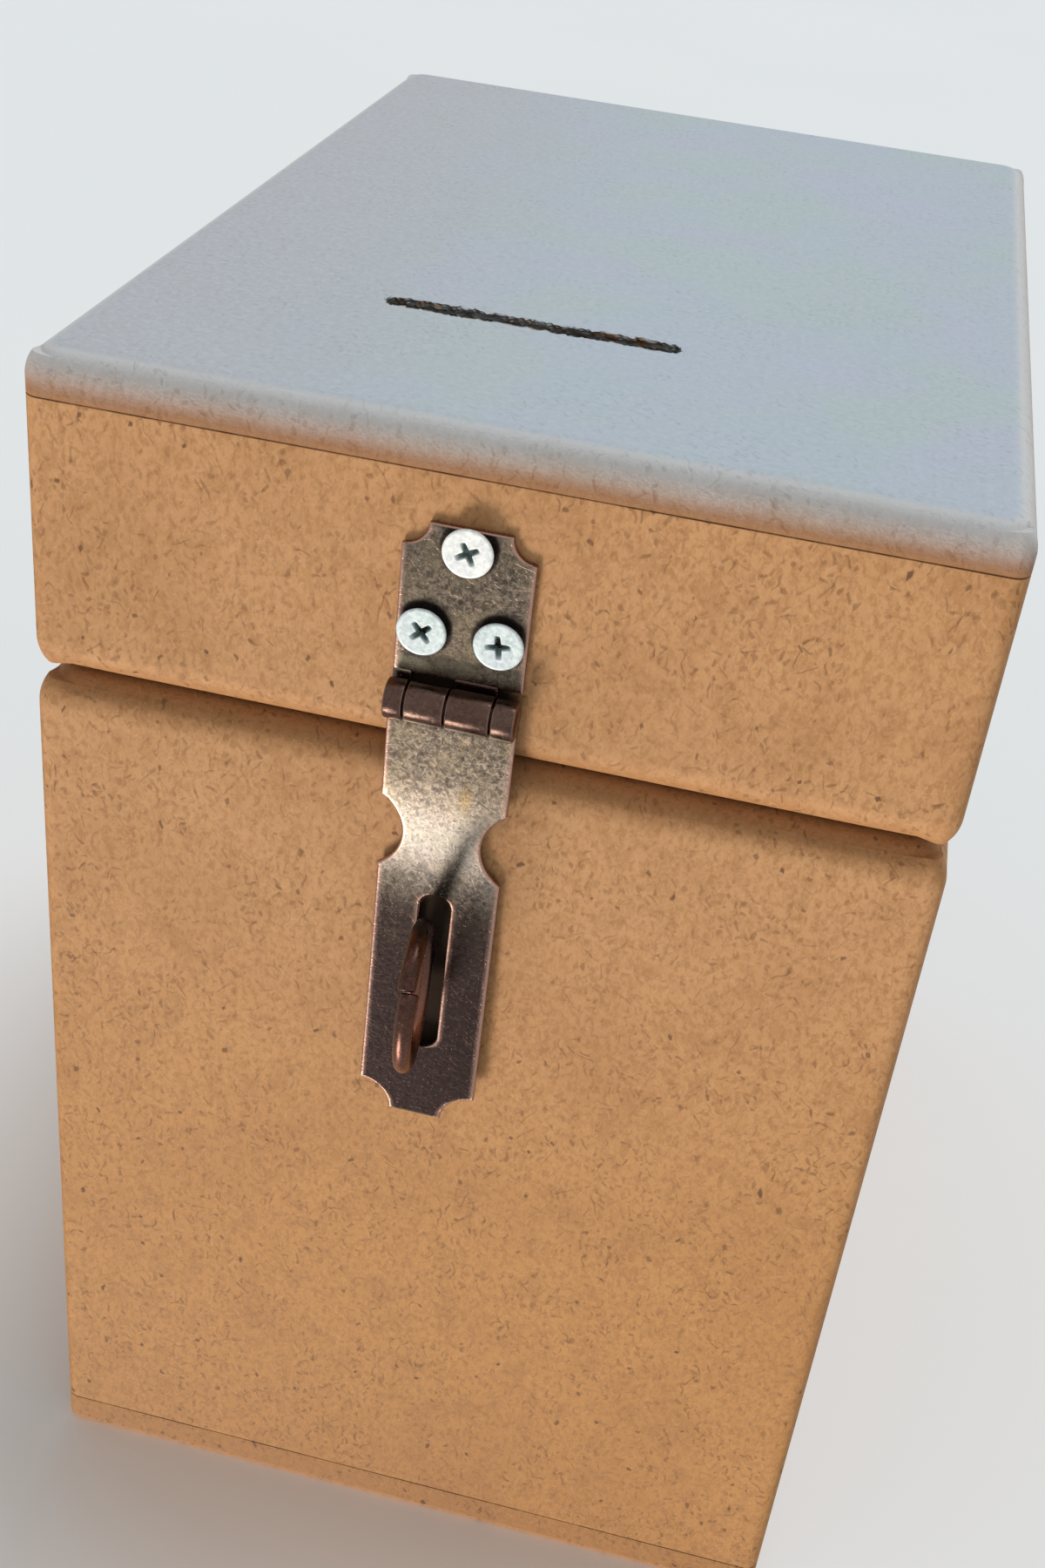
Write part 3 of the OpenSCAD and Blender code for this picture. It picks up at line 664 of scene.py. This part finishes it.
def sheetShell(h, z, inner, outer, bow, centre, fade):
    # For each height z the sheet runs from inner to outer on both sides of its middle line. The section's
    # rims are quarter circles of radius edge, taken along the outline's normal on the outside; front and back
    # lie half the thickness before and behind the middle surface y = bow(z). At both ends the thickness
    # fades to nothing along a quarter circle. The mask is 1 on the rims.
    turns = np.radians(np.linspace(0, 90, 5))
    edge, halfT = h["edge"], h["sheet"] / 2
    dz, dx = np.gradient(z), np.gradient(outer)
    size = np.hypot(dz, dx)
    full = (size > 1e-6) & (fade > 0.999)
    aimX = np.where(full, np.abs(dz) / np.maximum(size, 1e-6), 1)[:, None]
    aimZ = np.where(full, -dx * np.sign(dz) / np.maximum(size, 1e-6), 0)[:, None]
    innerR = np.minimum(edge, inner * 0.5)[:, None]
    back, sink = 1 - np.cos(turns), 1 - np.sin(turns)
    left = inner[:, None] + innerR * back
    right = outer[:, None] - edge * back[::-1] * aimX
    spans = np.array([0.35, 0.9])
    inward, outward = left[:, -1:], right[:, :1]
    middle = np.concatenate([inward + spans, (inward + outward) / 2, outward - spans[::-1]], 1)
    middle = np.clip(middle, inward, outward)
    half = np.concatenate([left, middle, right], 1)
    halfN = np.concatenate([halfT - innerR * sink, np.full_like(middle, halfT),
                            np.broadcast_to(halfT - edge * sink[::-1], right.shape)], 1)
    halfZ = np.concatenate([np.zeros_like(left), np.zeros_like(middle), -edge * back[::-1] * aimZ], 1)
    loopX = np.concatenate([half, half[:, ::-1]], 1)
    loopZ = z[:, None] + np.concatenate([halfZ, halfZ[:, ::-1]], 1)
    loopN = np.concatenate([halfN, -halfN[:, ::-1]], 1)
    loopN = np.sign(loopN) * np.minimum(np.abs(loopN), halfT * fade[:, None])
    # where there is no slot the two halves meet, and the wall between them is left out
    wall = np.zeros((len(z) - 1, loopX.shape[1]), bool)
    wall[:, -1] = (inner[:-1] < 1e-6) & (inner[1:] < 1e-6)
    rim = np.concatenate([np.ones(5), [0.25, 0, 0, 0, 0.25], np.ones(5)])
    rim = np.broadcast_to(np.concatenate([rim, rim[::-1]]), loopX.shape).copy()
    hasSlot = (inner >= 0.3)[:, None]
    rim[:, :7] *= hasSlot
    rim[:, -7:] *= hasSlot
    rim[fade < 0.999] = 1
    shells = []
    for side in (-1, 1):
        points = np.stack([centre[0] + side * loopX, bow[:, None] - loopN, centre[2] + loopZ], -1)
        flat, quads = gridShell(points)
        shells.append((flat, quads[~wall.reshape(-1)]))
    return shells, [rim.reshape(-1)] * 2


def rows(*parts):
    # Joins pieces of an outline, given as (heights, half widths), into one list of rows without repeats
    z, x = (np.concatenate([p[k] for p in parts]) for k in (0, 1))
    keep = np.concatenate([[True], (np.abs(np.diff(z)) + np.abs(np.diff(x))) > 1e-5])
    return z[keep], x[keep]


def withEnds(h, z):
    # Adds the rows that close both ends, where the thickness fades along a quarter circle
    turns = np.radians([0, 30, 60, 90])
    edge, sign = h["edge"], np.sign(z[-1] - z[0])
    kept = (z > min(z[0], z[-1]) + edge) & (z < max(z[0], z[-1]) - edge)
    inset = edge * (1 - np.cos(turns))
    thinner = 1 - edge / (h["sheet"] / 2) * (1 - np.sin(turns))
    zs = np.concatenate([[z[0]], z[0] + sign * inset, z[kept], z[-1] - sign * inset[::-1], [z[-1]]])
    return zs, np.concatenate([[0], thinner, np.ones(kept.sum()), thinner[::-1], [0]])


def rolledStrip(path, low, high, thick, edge=0.3):
    # A strip's cross-section, a rectangle with rounded corners, carried along a path of (y, z) points;
    # both ends close over a last few shrinking sections. The mask is faint on the corners and 0 on the faces,
    # of which every fourth point of the ring begins one.
    turns = np.radians(np.linspace(0, 90, 4))
    halfW, halfT = (high - low) / 2, thick / 2
    corner = np.stack([np.sin(turns), np.cos(turns)], -1) * edge
    ring = []
    for sx, st, flip in ((1, 1, False), (1, -1, True), (-1, -1, False), (-1, 1, True)):
        bent = corner[::-1] if flip else corner
        ring.append(np.stack([sx * (halfW - edge + bent[:, 0]), st * (halfT - edge + bent[:, 1])], -1))
    ring = np.concatenate(ring)
    tangent = np.gradient(path, axis=0)
    tangent /= np.linalg.norm(tangent, axis=1)[:, None]
    normal = np.stack([-tangent[:, 1], tangent[:, 0]], -1)
    shrunk, shut = (1 - edge / halfW, 1 - edge / halfT), (0, 0)
    centres = np.concatenate([[path[0], path[0] + tangent[0] * edge * 0.3], path[1:-1],
                              [path[-1] - tangent[-1] * edge * 0.3, path[-1]]])
    scales = np.concatenate([[shut, shrunk], np.ones((len(path) - 2, 2)), [shrunk, shut]])
    normals = np.concatenate([normal[:1], normal[:1], normal[1:-1], normal[-1:], normal[-1:]])
    x = (low + high) / 2 + ring[None, :, 0] * scales[:, :1]
    offset = ring[None, :, 1] * scales[:, 1:]
    yz = centres[:, None, :] + offset[..., None] * normals[:, None, :]
    place = np.arange(len(ring)) % 4
    wearAndLight = np.broadcast_to(np.where((place == 1) | (place == 2), 0.35, 0.0), (len(scales), len(ring)))
    return gridShell(np.concatenate([x[..., None], yz], -1)), wearAndLight.reshape(-1)


def arc(radius, start, end, count):
    # Points (y, z) of an arc round (0, 0), from one angle to another in degrees
    a = np.radians(np.linspace(start, end, count))
    return np.stack([radius * np.cos(a), radius * np.sin(a)], -1)


def blend(start, end, count):
    # A smooth S from one (y, z) point to another: z moves evenly and y is softened
    t = np.linspace(0, 1, count)
    y = start[0] + (end[0] - start[0]) * soften(t)
    return np.stack([y, start[1] + (end[1] - start[1]) * t], -1)


def withKnuckles(h, own, start, side, roll, axis, shells, wearAndLight, wear=1):
    # Adds a sheet's own knuckles: a tongue bends from start = (y, z) to the back (side 1) or the front (side -1)
    # of the barrel and rolls round its axis by the angle roll. Returns the shells with two masks: the one of wear
    # and painted light, and "rolled".
    reach, begin = h["roll"] - h["sheet"] / 2, 0 if side > 0 else 180
    path = np.concatenate([blend(start, (side * reach, 0), 8)[:-1],
                           arc(reach, begin, begin + roll, 44)]) + axis[1:]
    places, last = h["knuckles"], len(h["knuckles"]) - 2
    rolled = [np.zeros(len(w)) for w in wearAndLight]
    for i in own:
        left = -h["width"] / 2 + h["width"] * places[i] + (h["gap"] / 2 if i else 0)
        right = -h["width"] / 2 + h["width"] * places[i + 1] - (h["gap"] / 2 if i < last else 0)
        strip, corners = rolledStrip(path, axis[0] + left, axis[0] + right, h["sheet"] - 0.02)
        shells.append(strip)
        wearAndLight.append(corners * wear)
        rolled.append(np.ones(len(corners)))
    return shells, np.concatenate(wearAndLight), np.concatenate(rolled)


def circles(profile, facets):
    # Both sideways places of a turned profile's points
    angle = np.linspace(0, 2 * np.pi, facets, endpoint=False)
    return profile[:, 1:] * np.cos(angle), profile[:, 1:] * np.sin(angle)


def turned(profile, centre, axis, facets, sunk=0):
    # A profile of (distance along the axis, radius) points turned round the axis 1, 2 or 3, or backwards
    # along it where that is negative; sunk is added to the distance
    p, q = circles(profile, facets)
    first, second = [np.eye(3)[k] for k in range(3) if k != abs(axis) - 1]
    main = np.eye(3)[abs(axis) - 1] * np.sign(axis)
    along = np.broadcast_to(profile[:, :1] + sunk, p.shape)
    points = np.asarray(centre) + p[..., None] * first + q[..., None] * second + along[..., None] * main
    return gridShell(points)


def makePin(h, middle, name, material, body, node):
    # A rod along x, a little longer than the knuckles, with slightly domed ends
    ends = h["width"] / 2 + h["pinOut"] - np.array([0, *h["pinDome"]])
    radii = h["pin"] * np.array([0, 0.5, 0.85, 1])
    profile = np.stack([np.concatenate([-ends, ends[::-1]]), np.concatenate([radii, radii[::-1]])], -1)
    shell = turned(profile, middle, 1, h["pinFacets"])
    addPiece(name, [shell], material, body, node, {"wearAndLight": np.zeros(len(shell[0]))})


hasp = {
    "width": 22, "sheet": 1.2, "edge": 0.34,   # edge is the radius of the sheet's rims
    "roll": 3.45, "knuckles": (0, 0.155, 0.47, 0.82, 1), "gap": 0.3,   # radius and shares of the barrel
    "room": 3.75, "tongue": 1.2,   # from the pin's middle to the sheet's end, and a tongue's start beyond it
    "leafTop": 31, "leafScoop": 4.2, "leafOut": 0.6, "leafBow": 0.2, "leafRoll": -298,
    "strapEnd": 89, "strapScoop": 6, "waist": 27.2, "waistR": 9, "waistDepth": 4, "strapRoll": 284,
    "slotHalf": 2.8, "slotDrop": 56, "slotReach": 14.2,
    "topOut": 2.35, "waistOut": 1.35, "endOut": 3.2, "bendFrom": 14, "bendTo": 35,   # the strap's bow
    # A painted highlight round the waist and painted shade from below it to the end, placed down from the barrel's
    # middle
    "paintedGlossDrop": 28, "paintedGlossSize": 8, "duskFrom": 30, "duskTo": 46, "duskEnd": 0.35,
    "pin": 2.2, "pinOut": 0.25, "pinDome": (0.02, 0.12, 0.35), "pinFacets": 32,
}

screws = {
    "head": 8.4, "shank": 4, "rim": 0.3, "cone": 2.2, "tip": 2,
    "armLength": 2.15, "armHalf": 0.58, "depth": 1.6, "wall": 0.16,   # the cross and the slope of its walls
    # right of and above the barrel's middle, turn of the cross
    "places": {"hasp_screw_top": (0, 27.6, 28), "hasp_screw_left": (-6.4, 12.4, 40),
               "hasp_screw_right": (6.4, 12.4, 8)},
}


def ellipseAt(right, out, up, halfX, halfZ, tone, share, soft, turn=0):
    # An ellipse on the hasp, placed from the barrel's middle and from the front of the box
    return (haspAxis[0] + right, frontY - out, haspAxis[2] + up), (halfX, 5, halfZ), turn, tone, share, soft


# Tones: a dark one for the painted shade round the screw heads and for a dark scratch on the strap, an old gold
# one for a stain, and a pale one for a painted reflection
grimeAndShade, oldGold, paleReflection = (30, 23, 21), (122, 98, 54), (176, 164, 138)
# Painted shade: dark rings round the screw heads, where the leaf lies in their shade
leafPaintedLight = [ellipseAt(x, 1, z + 0.2, 4.9, 4.9, grimeAndShade, 0.92, 0.07) for x, z, turn in screws["places"].values()]
# Painted reflection: a pale patch at the leaf's lower left corner
leafPaintedLight += [ellipseAt(-7.9, 1, 5.3, 3.2, 1.5, paleReflection, 0.5, 0.4)]
strapStains = [ellipseAt(3.7, 2, -17.5, 1.0, 2.4, oldGold, 0.45, 0.7),
               ellipseAt(7.0, 2, -18.1, 1.9, 0.16, grimeAndShade, 0.6, 0.5, turn=-32)]
leafMetal = makeMetalFinish("antiqueLeaf", leafPaintedLight, low=(64, 55, 50), high=(120, 108, 94))
strapMetal = makeMetalFinish("antiqueStrap", strapStains)
pinMetal = makeMetalFinish("antiquePin", low=(68, 46, 41), high=(96, 68, 60), warm=(84, 58, 51),
                           scratchShare=0.2)


def makeLeaf():
    # Straight sides from the barrel up, two corners scooped out along quarter circles, and two knuckles
    h, s = hasp, hasp["leafScoop"]
    half, a = h["width"] / 2, np.radians(np.linspace(0, 90, 14))
    z, x = rows((np.linspace(h["room"], h["leafTop"] - s, 30), np.full(30, half)),
                (h["leafTop"] - s * np.cos(a), half - s * np.sin(a)))
    zs, fade = withEnds(h, z)
    bow = frontY - h["leafOut"] - h["leafBow"] * np.sin(np.pi * (zs - z[0]) / (z[-1] - z[0]))
    sheets = sheetShell(h, zs, np.zeros_like(zs), np.interp(zs, z, x), bow, haspAxis, fade)
    start = frontY - h["leafOut"] - haspAxis[1], h["room"] + h["tongue"]
    shells, wearAndLight, rolled = withKnuckles(h, (0, 2), start, 1, h["leafRoll"], haspAxis, *sheets)
    addPiece("hasp_leaf_plate", shells, leafMetal, "lid", "hasp_leaf",
             {"wearAndLight": wearAndLight, "rolled": rolled})


def makeStrap():
    # From the barrel down: straight sides, a waist cut in by two arcs, straight sides and two scooped
    # corners; a slot with round ends; a bow that bends in to the waist and out to the end; two knuckles.
    # It is painted paler round the waist, a painted highlight, and darker from just below it to the end, painted
    # shade.
    h, w, s = hasp, hasp["waistR"], hasp["strapScoop"]
    half, spread = h["width"] / 2, np.degrees(np.arccos(1 - h["waistDepth"] / w))
    b = np.radians(np.linspace(spread, -spread, 26))
    c = np.radians(np.linspace(90, 0, 18))
    z, x = rows((np.linspace(-h["room"], -h["waist"] + w * np.sin(b[0]), 12), np.full(12, half)),
                (-h["waist"] + w * np.sin(b), half + w - h["waistDepth"] - w * np.cos(b)),
                (np.linspace(-h["waist"] - w * np.sin(b[0]), -h["strapEnd"] + s, 40), np.full(40, half)),
                (-h["strapEnd"] + s * np.sin(c), half - s * np.cos(c)))
    d, r = np.radians(np.linspace(90, 0, 12)), h["slotHalf"]
    slotZ, slotX = rows((-h["slotDrop"] + h["slotReach"] + r * np.sin(d), r * np.cos(d)),
                        (-h["slotDrop"] - h["slotReach"] - r * np.sin(d[::-1]), r * np.cos(d[::-1])))
    zs, fade = withEnds(h, np.unique(np.round(np.concatenate([z, slotZ]), 4))[::-1])
    inner = np.interp(-zs, -slotZ, slotX, left=0, right=0)
    inner[np.abs(inner) < 1e-6] = 0
    bend = soften(between(-zs, h["bendFrom"], h["bendTo"]))
    flare = between(-zs, h["bendTo"], h["strapEnd"]) ** 1.3
    bow = frontY - h["topOut"] + (h["topOut"] - h["waistOut"]) * bend + (h["waistOut"] - h["endOut"]) * flare
    sheets = sheetShell(h, zs, inner, np.interp(-zs, -z, x), bow, haspAxis, fade)
    start = frontY - h["topOut"] - haspAxis[1], -h["room"] - h["tongue"]
    shells, wearAndLight, rolled = withKnuckles(h, (1, 3), start, 1, h["strapRoll"], haspAxis, *sheets)
    drop = haspAxis[2] - np.concatenate([p[:, 2] for p, q in shells])
    # Painted highlight round the waist
    paintedGloss = np.exp(-((drop - h["paintedGlossDrop"]) / h["paintedGlossSize"]) ** 2)
    # Painted shade from below the waist to the end
    paintedShade = soften(between(drop, h["duskFrom"], h["duskTo"]))
    paintedShade *= 1 + h["duskEnd"] * between(drop, h["duskTo"], h["strapEnd"])
    addPiece("hasp_strap_plate", shells, strapMetal, "strap", "hasp_strap",
             {"wearAndLight": wearAndLight, "rolled": rolled, "paintedGloss": paintedGloss, "paintedShade": paintedShade})


makeLeaf()
makeStrap()
makePin(hasp, haspAxis, "hasp_pin_rod", pinMetal, "lid", "hasp_pin")
print("hasp made")


def crossDepth(s, a, b):
    # How deep the cross recess is at a point: two bars that narrow and rise towards their ends
    a, b = np.abs(a), np.abs(b)
    arm, deepest = s["armLength"], np.zeros(a.shape)
    for p, q in ((a, b), (b, a)):
        side = np.clip((s["armHalf"] * (1 - 0.28 * p / arm) - q) / s["wall"], 0, 1)
        floor = np.clip((arm - p) / arm * 1.6, 0, 1) * s["depth"]
        deepest = np.maximum(deepest, side * floor * (p < arm))
    return deepest


def screwShell(s, length, turn, centre, axis):
    # A turned profile: a flat face with a cross sunk into it, rounded rim, cone, shank and point. The
    # distance along the axis is measured from the face inwards. The mask is 1 where the cross is deepest.
    r, facets = s["head"] / 2, 96
    inner = np.linspace(0, r * 0.9, 46)
    face = np.stack([np.zeros_like(inner), inner], -1)
    turns = np.radians(np.linspace(0, 90, 6))[1:]
    soft = 0.1 * r
    lip = min(soft * 0.6, s["rim"] * 0.8) * (1 - np.cos(turns))
    lip = np.stack([lip, r - soft + soft * np.sin(turns)], -1)
    rest = np.array([(s["rim"], r), (s["rim"] + s["cone"], s["shank"] / 2),
                     (length - s["tip"], s["shank"] / 2), (length, 0.3), (length, 0)])
    profile = np.concatenate([face, lip, rest])
    p, q = circles(profile, facets)
    c, t = np.cos(np.radians(turn)), np.sin(np.radians(turn))
    sunk = crossDepth(s, p * c + q * t, q * c - p * t)
    sunk[len(inner):] = 0
    return turned(profile, centre, axis, facets, sunk), (sunk / s["depth"]).reshape(-1)


# Lit and shaded copies of one zinc: the top head painted paler as painted light, the two lower ones darker and
# bluer as painted shade
litZinc = makeZincFinish("zincLitCopy", (200, 206, 202), (234, 235, 231))
shadedZinc = makeZincFinish("zincShadedCopy", (170, 184, 184), (206, 216, 216))
for node, (right, up, turn) in screws["places"].items():
    low, high = boxOf(node)
    middle = haspAxis[0] + right, low[1], haspAxis[2] + up
    shell, recess = screwShell(screws, high[1] - low[1], turn, middle, 2)
    finish = litZinc if node == "hasp_screw_top" else shadedZinc
    addPiece(node + "_zinc", [shell], finish, "lid", node, {"recess": recess})
print("screws made")


eye = {
    "radius": 11.2, "wire": 1.6, "turn": 5.5, "tall": 1.12, "lift": 0.8, "steps": 110,
    "joint": 0.1, "jointSoft": 0.42, "jointRise": 38, "jointAside": 0.35,
    "jointReach": 0.5,   # in radians
    "shank": 1.5, "tip": 2, "sunk": 0.6,
}
copperWire = makeMetalFinish("copperWire", low=(54, 38, 33), high=(84, 57, 48), warm=(66, 47, 41),
                             bright=(168, 112, 92), rough=0.28, scratchShare=0.2)


def makeStaple():
    # A ring of wire, a little taller than deep and turned about the upright: the section, a circle, is
    # carried round the ring from one end of the wire to the other, and its radius falls to nothing at the
    # two ends, which nearly touch above the front and stand a little aside of each other
    e, radius = eye, eye["radius"]
    gap = e["joint"] / radius
    soft = np.array([0, 0.03, 0.25, 0.6, 1.0]) * e["jointSoft"] / radius
    thick = np.array([0, 0.72, 0.92, 0.985, 1]) * e["wire"]
    angle = np.linspace(gap + soft[-1], 2 * np.pi - gap - soft[-1], e["steps"])
    angle = np.concatenate([gap + soft[:-1], angle, 2 * np.pi - gap - soft[:-1][::-1]])
    size = np.concatenate([thick[:-1], np.full(e["steps"], e["wire"]), thick[:-1][::-1]])[:, None]
    spin = (angle + np.pi - np.radians(e["jointRise"]))[:, None]
    around = np.linspace(0, 2 * np.pi, 24, endpoint=False)
    first = np.clip(1 - (angle - angle[0]) / e["jointReach"], 0, 1)
    second = np.clip(1 - (angle[-1] - angle) / e["jointReach"], 0, 1)
    side = size * np.sin(around) + (e["jointAside"] * (first - second))[:, None]
    reach = radius + size * np.cos(around)
    y, z = reach * np.cos(spin), reach * np.sin(spin) + (e["tall"] - 1) * radius * np.sin(spin) + e["lift"]
    c, t = np.cos(np.radians(e["turn"])), np.sin(np.radians(e["turn"]))
    points = eyeMiddle + np.stack([side * c - y * t, side * t + y * c, z], -1)
    ring = gridShell(points)
    # Brighter towards the ring's lower half: wear, and painted light where the lamp from below lights the wire
    # while its upper half lies in shade
    wearAndLight = np.clip(0.55 - (points[..., 2] - eyeMiddle[2]) / (2 * radius), 0, 1) ** 2 * 0.5
    front = eyeMiddle[1] + radius - e["sunk"]
    length, r = boxOf("staple")[1][1] - front, e["shank"]
    profile = np.array([(0, 0), (0, r * 0.8), (0.2, r), (length - e["tip"], r), (length, 0.3), (length, 0)])
    shank = turned(profile, (eyeMiddle[0] - radius * t, front, eyeMiddle[2]), 2, 24)
    addPiece("staple_eye", [ring, shank], copperWire, "box", "staple",
             {"wearAndLight": np.concatenate([wearAndLight.reshape(-1), np.zeros(len(shank[0]))])})


makeStaple()
print("staple made")


hinge = {
    "width": 30, "leaf": 17, "corner": 1.2, "sheet": 1.2, "edge": 0.3, "room": 2.85, "tongue": 1.0,
    "roll": 2.55, "knuckles": (0, 0.3, 0.7, 1), "gap": 0.3, "sweep": 300, "wear": 0.6, "knuckleWear": 0.7,
    "screwX": 9, "screwShare": 0.62, "proud": 0.02,   # screws: from the middle, share of the leaf, above it
    "pin": 1.3, "pinOut": 0.25, "pinDome": (0.02, 0.1, 0.3), "pinFacets": 28,
}

hingeScrews = {"head": 5.2, "shank": 2.8, "rim": 0.02, "cone": 1.1, "tip": 2, "length": 8.4, "turn": 28,
               "armLength": 1.6, "armHalf": 0.4, "depth": 1.0, "wall": 0.1}
hingeMetal = makeMetalFinish("antiquePlate")


def makeHingePlate(word, axis, back, part, body, up, own):
    # Straight sides away from the barrel, two corners rounded along quarter circles, and the plate's knuckles
    h, far = hinge, hinge["leaf"] - hinge["corner"]
    a = np.radians(np.linspace(0, 90, 7))[1:]
    z = up * np.concatenate([np.linspace(h["room"], far, 12), far + h["corner"] * np.sin(a)])
    x = np.concatenate([np.full(12, h["width"] / 2), h["width"] / 2 - h["corner"] * (1 - np.cos(a))])
    zs, fade = withEnds(h, z)
    outer, sheetY = np.interp(up * zs, up * z, x), back + h["sheet"] / 2
    sheets = sheetShell(h, zs, np.zeros_like(zs), outer, np.full(len(zs), sheetY), axis, fade)
    start = sheetY - axis[1], up * (h["room"] + h["tongue"])
    shells, wearAndLight, _ = withKnuckles(h, own, start, -1, up * h["sweep"], axis, *sheets, h["knuckleWear"])
    addPiece(f"{word}_hinge_{part}_plate", shells, hingeMetal, body,
             f"{word}_hinge_{part}_leaf", {"wearAndLight": wearAndLight * h["wear"]})


def makeHingeScrews(word, axis, back, part, body, up):
    h, s = hinge, hingeScrews
    y, z = back + h["sheet"] + h["proud"], axis[2] + up * h["leaf"] * h["screwShare"]
    made = [screwShell(s, s["length"], side * up * s["turn"], (axis[0] + side * h["screwX"], y, z), -2)
            for side in (-1, 1)]
    recess = np.concatenate([mask for shell, mask in made])
    # Painted shade in the crosses of the hinge screws: darker where the cross is sunk
    addPiece(f"{word}_hinge_{part}_screw_pair", [shell for shell, mask in made], pinMetal, body,
             f"{word}_hinge_{part}_screws",
             {"wearAndLight": 0.45 * np.clip(1 - recess * 8, 0, 1), "paintedShade": np.clip(recess * 2, 0, 1)})


back = boxOf("body_back_panel")[1][1]
for word in ("left", "right"):
    low, high = boxOf(word + "_hinge_pin")
    axis = (low + high) / 2
    for part, body, up, own in (("lid", "lid", 1, (1,)), ("body", "box", -1, (0, 2))):
        makeHingePlate(word, axis, back, part, body, up, own)
        makeHingeScrews(word, axis, back, part, body, up)
    makePin(hinge, axis, word + "_hinge_rod", pinMetal, "box", word + "_hinge_pin")
print("rear hinges made")


stage = {
    "floor": 9000, "drop": 0.05, "floorTone": (241, 240, 237), "patchTone": (235, 235, 232), "patch": 320,
    "patchShare": 0.25, "rough": 0.85, "specular": 0.1,
    "worldTone": (0.93, 0.97, 1.0), "world": 0.45,   # the world's light on the object
    "paperTone": (1, 1, 1), "paper": 0.88,           # what the camera and the gloss see of the world
    "keyTone": (1.0, 0.92, 0.83), "key": 3.1, "keyAim": (0.42, 0.75, 1.05), "keySoft": 18,
    "topTone": (0.88, 0.94, 1.0), "top": 1.65, "topAim": (-0.25, -0.3, -1.0), "topSoft": 30,
}


def makeFloor():
    # A flat grid, just below the box
    s = stage
    f = Finish("paleFloor", Roughness=s["rough"], Specular_IOR_Level=s["specular"])
    patches = f.noise(f.place(), s["patch"]).rise(0.3, 0.7) * s["patchShare"]
    f.feed(Base_Color=f.mix(patches, s["floorTone"], s["patchTone"]))
    line = np.linspace(-s["floor"], s["floor"], 9)
    x, y = np.meshgrid(line, line, indexing="ij")
    points, quads = gridShell(np.stack([x, y, np.full_like(x, -s["drop"])], -1), wrap=False)
    mesh = bpy.data.meshes.new("floor")
    mesh.from_pydata((points * mm).tolist(), [], quads.tolist())
    mesh.materials.append(f.material)
    floor = bpy.data.objects.new("floor", mesh)
    bpy.context.scene.collection.objects.link(floor)
    floor.visible_shadow = False


def makeLight():
    # A soft world, which looks like plain white paper to the camera and in gloss, and two lamps
    s = stage
    world = bpy.data.worlds.new("studio")
    bpy.context.scene.world = world
    sky = Nodes(world)
    background = sky.tree.nodes["Background"]
    background.inputs["Color"].default_value = (*s["worldTone"], 1)
    background.inputs["Strength"].default_value = s["world"]
    paper = sky.add("ShaderNodeBackground", None, {"Color": s["paperTone"], "Strength": s["paper"]})
    rays = sky.add("ShaderNodeLightPath", output="Is Camera Ray")
    seen = rays.most(rays.beside("Is Glossy Ray")).most(rays.beside("Is Transmission Ray"))
    shown = sky.add("ShaderNodeMixShader", None, {0: seen, 1: Wire(sky, background.outputs[0]), 2: paper})
    sky.tree.links.new(shown.socket, sky.tree.nodes["World Output"].inputs[0])
    for name in ("key", "top"):
        lamp = bpy.data.lights.new(name, "SUN")
        lamp.color = s[name + "Tone"]
        lamp.energy = s[name]
        lamp.angle = np.radians(s[name + "Soft"])
        holder = bpy.data.objects.new(name, lamp)
        holder.rotation_euler = Vector(s[name + "Aim"]).to_track_quat("-Z", "Y").to_euler()
        bpy.context.scene.collection.objects.link(holder)


camera = {
    "place": (48.0, -374.9, 364.1), "right": (0.9712, 0.2154, 0.1014), "back": (0.1283, -0.8324, 0.5390),
    "lens": 42.62, "sensor": 36, "nearest": 0.01, "farthest": 100,   # the last two in metres
}


def makeCamera():
    # Looks against back, with right made square to it
    c = camera
    data = bpy.data.cameras.new("camera")
    data.lens = c["lens"]
    data.sensor_width = c["sensor"]
    data.clip_start = c["nearest"]
    data.clip_end = c["farthest"]
    holder = bpy.data.objects.new("camera", data)
    back = Vector(c["back"]).normalized()
    right = Vector(c["right"])
    right = (right - right.dot(back) * back).normalized()
    turn = Matrix((right, back.cross(right), back)).transposed()
    holder.matrix_world = Matrix.Translation(Vector(c["place"]) * mm) @ turn.to_4x4()
    bpy.context.scene.collection.objects.link(holder)
    bpy.context.scene.camera = holder


makeFloor()
makeLight()
makeCamera()
bpy.context.scene.view_settings.view_transform = "Standard"
print("stage and camera made")
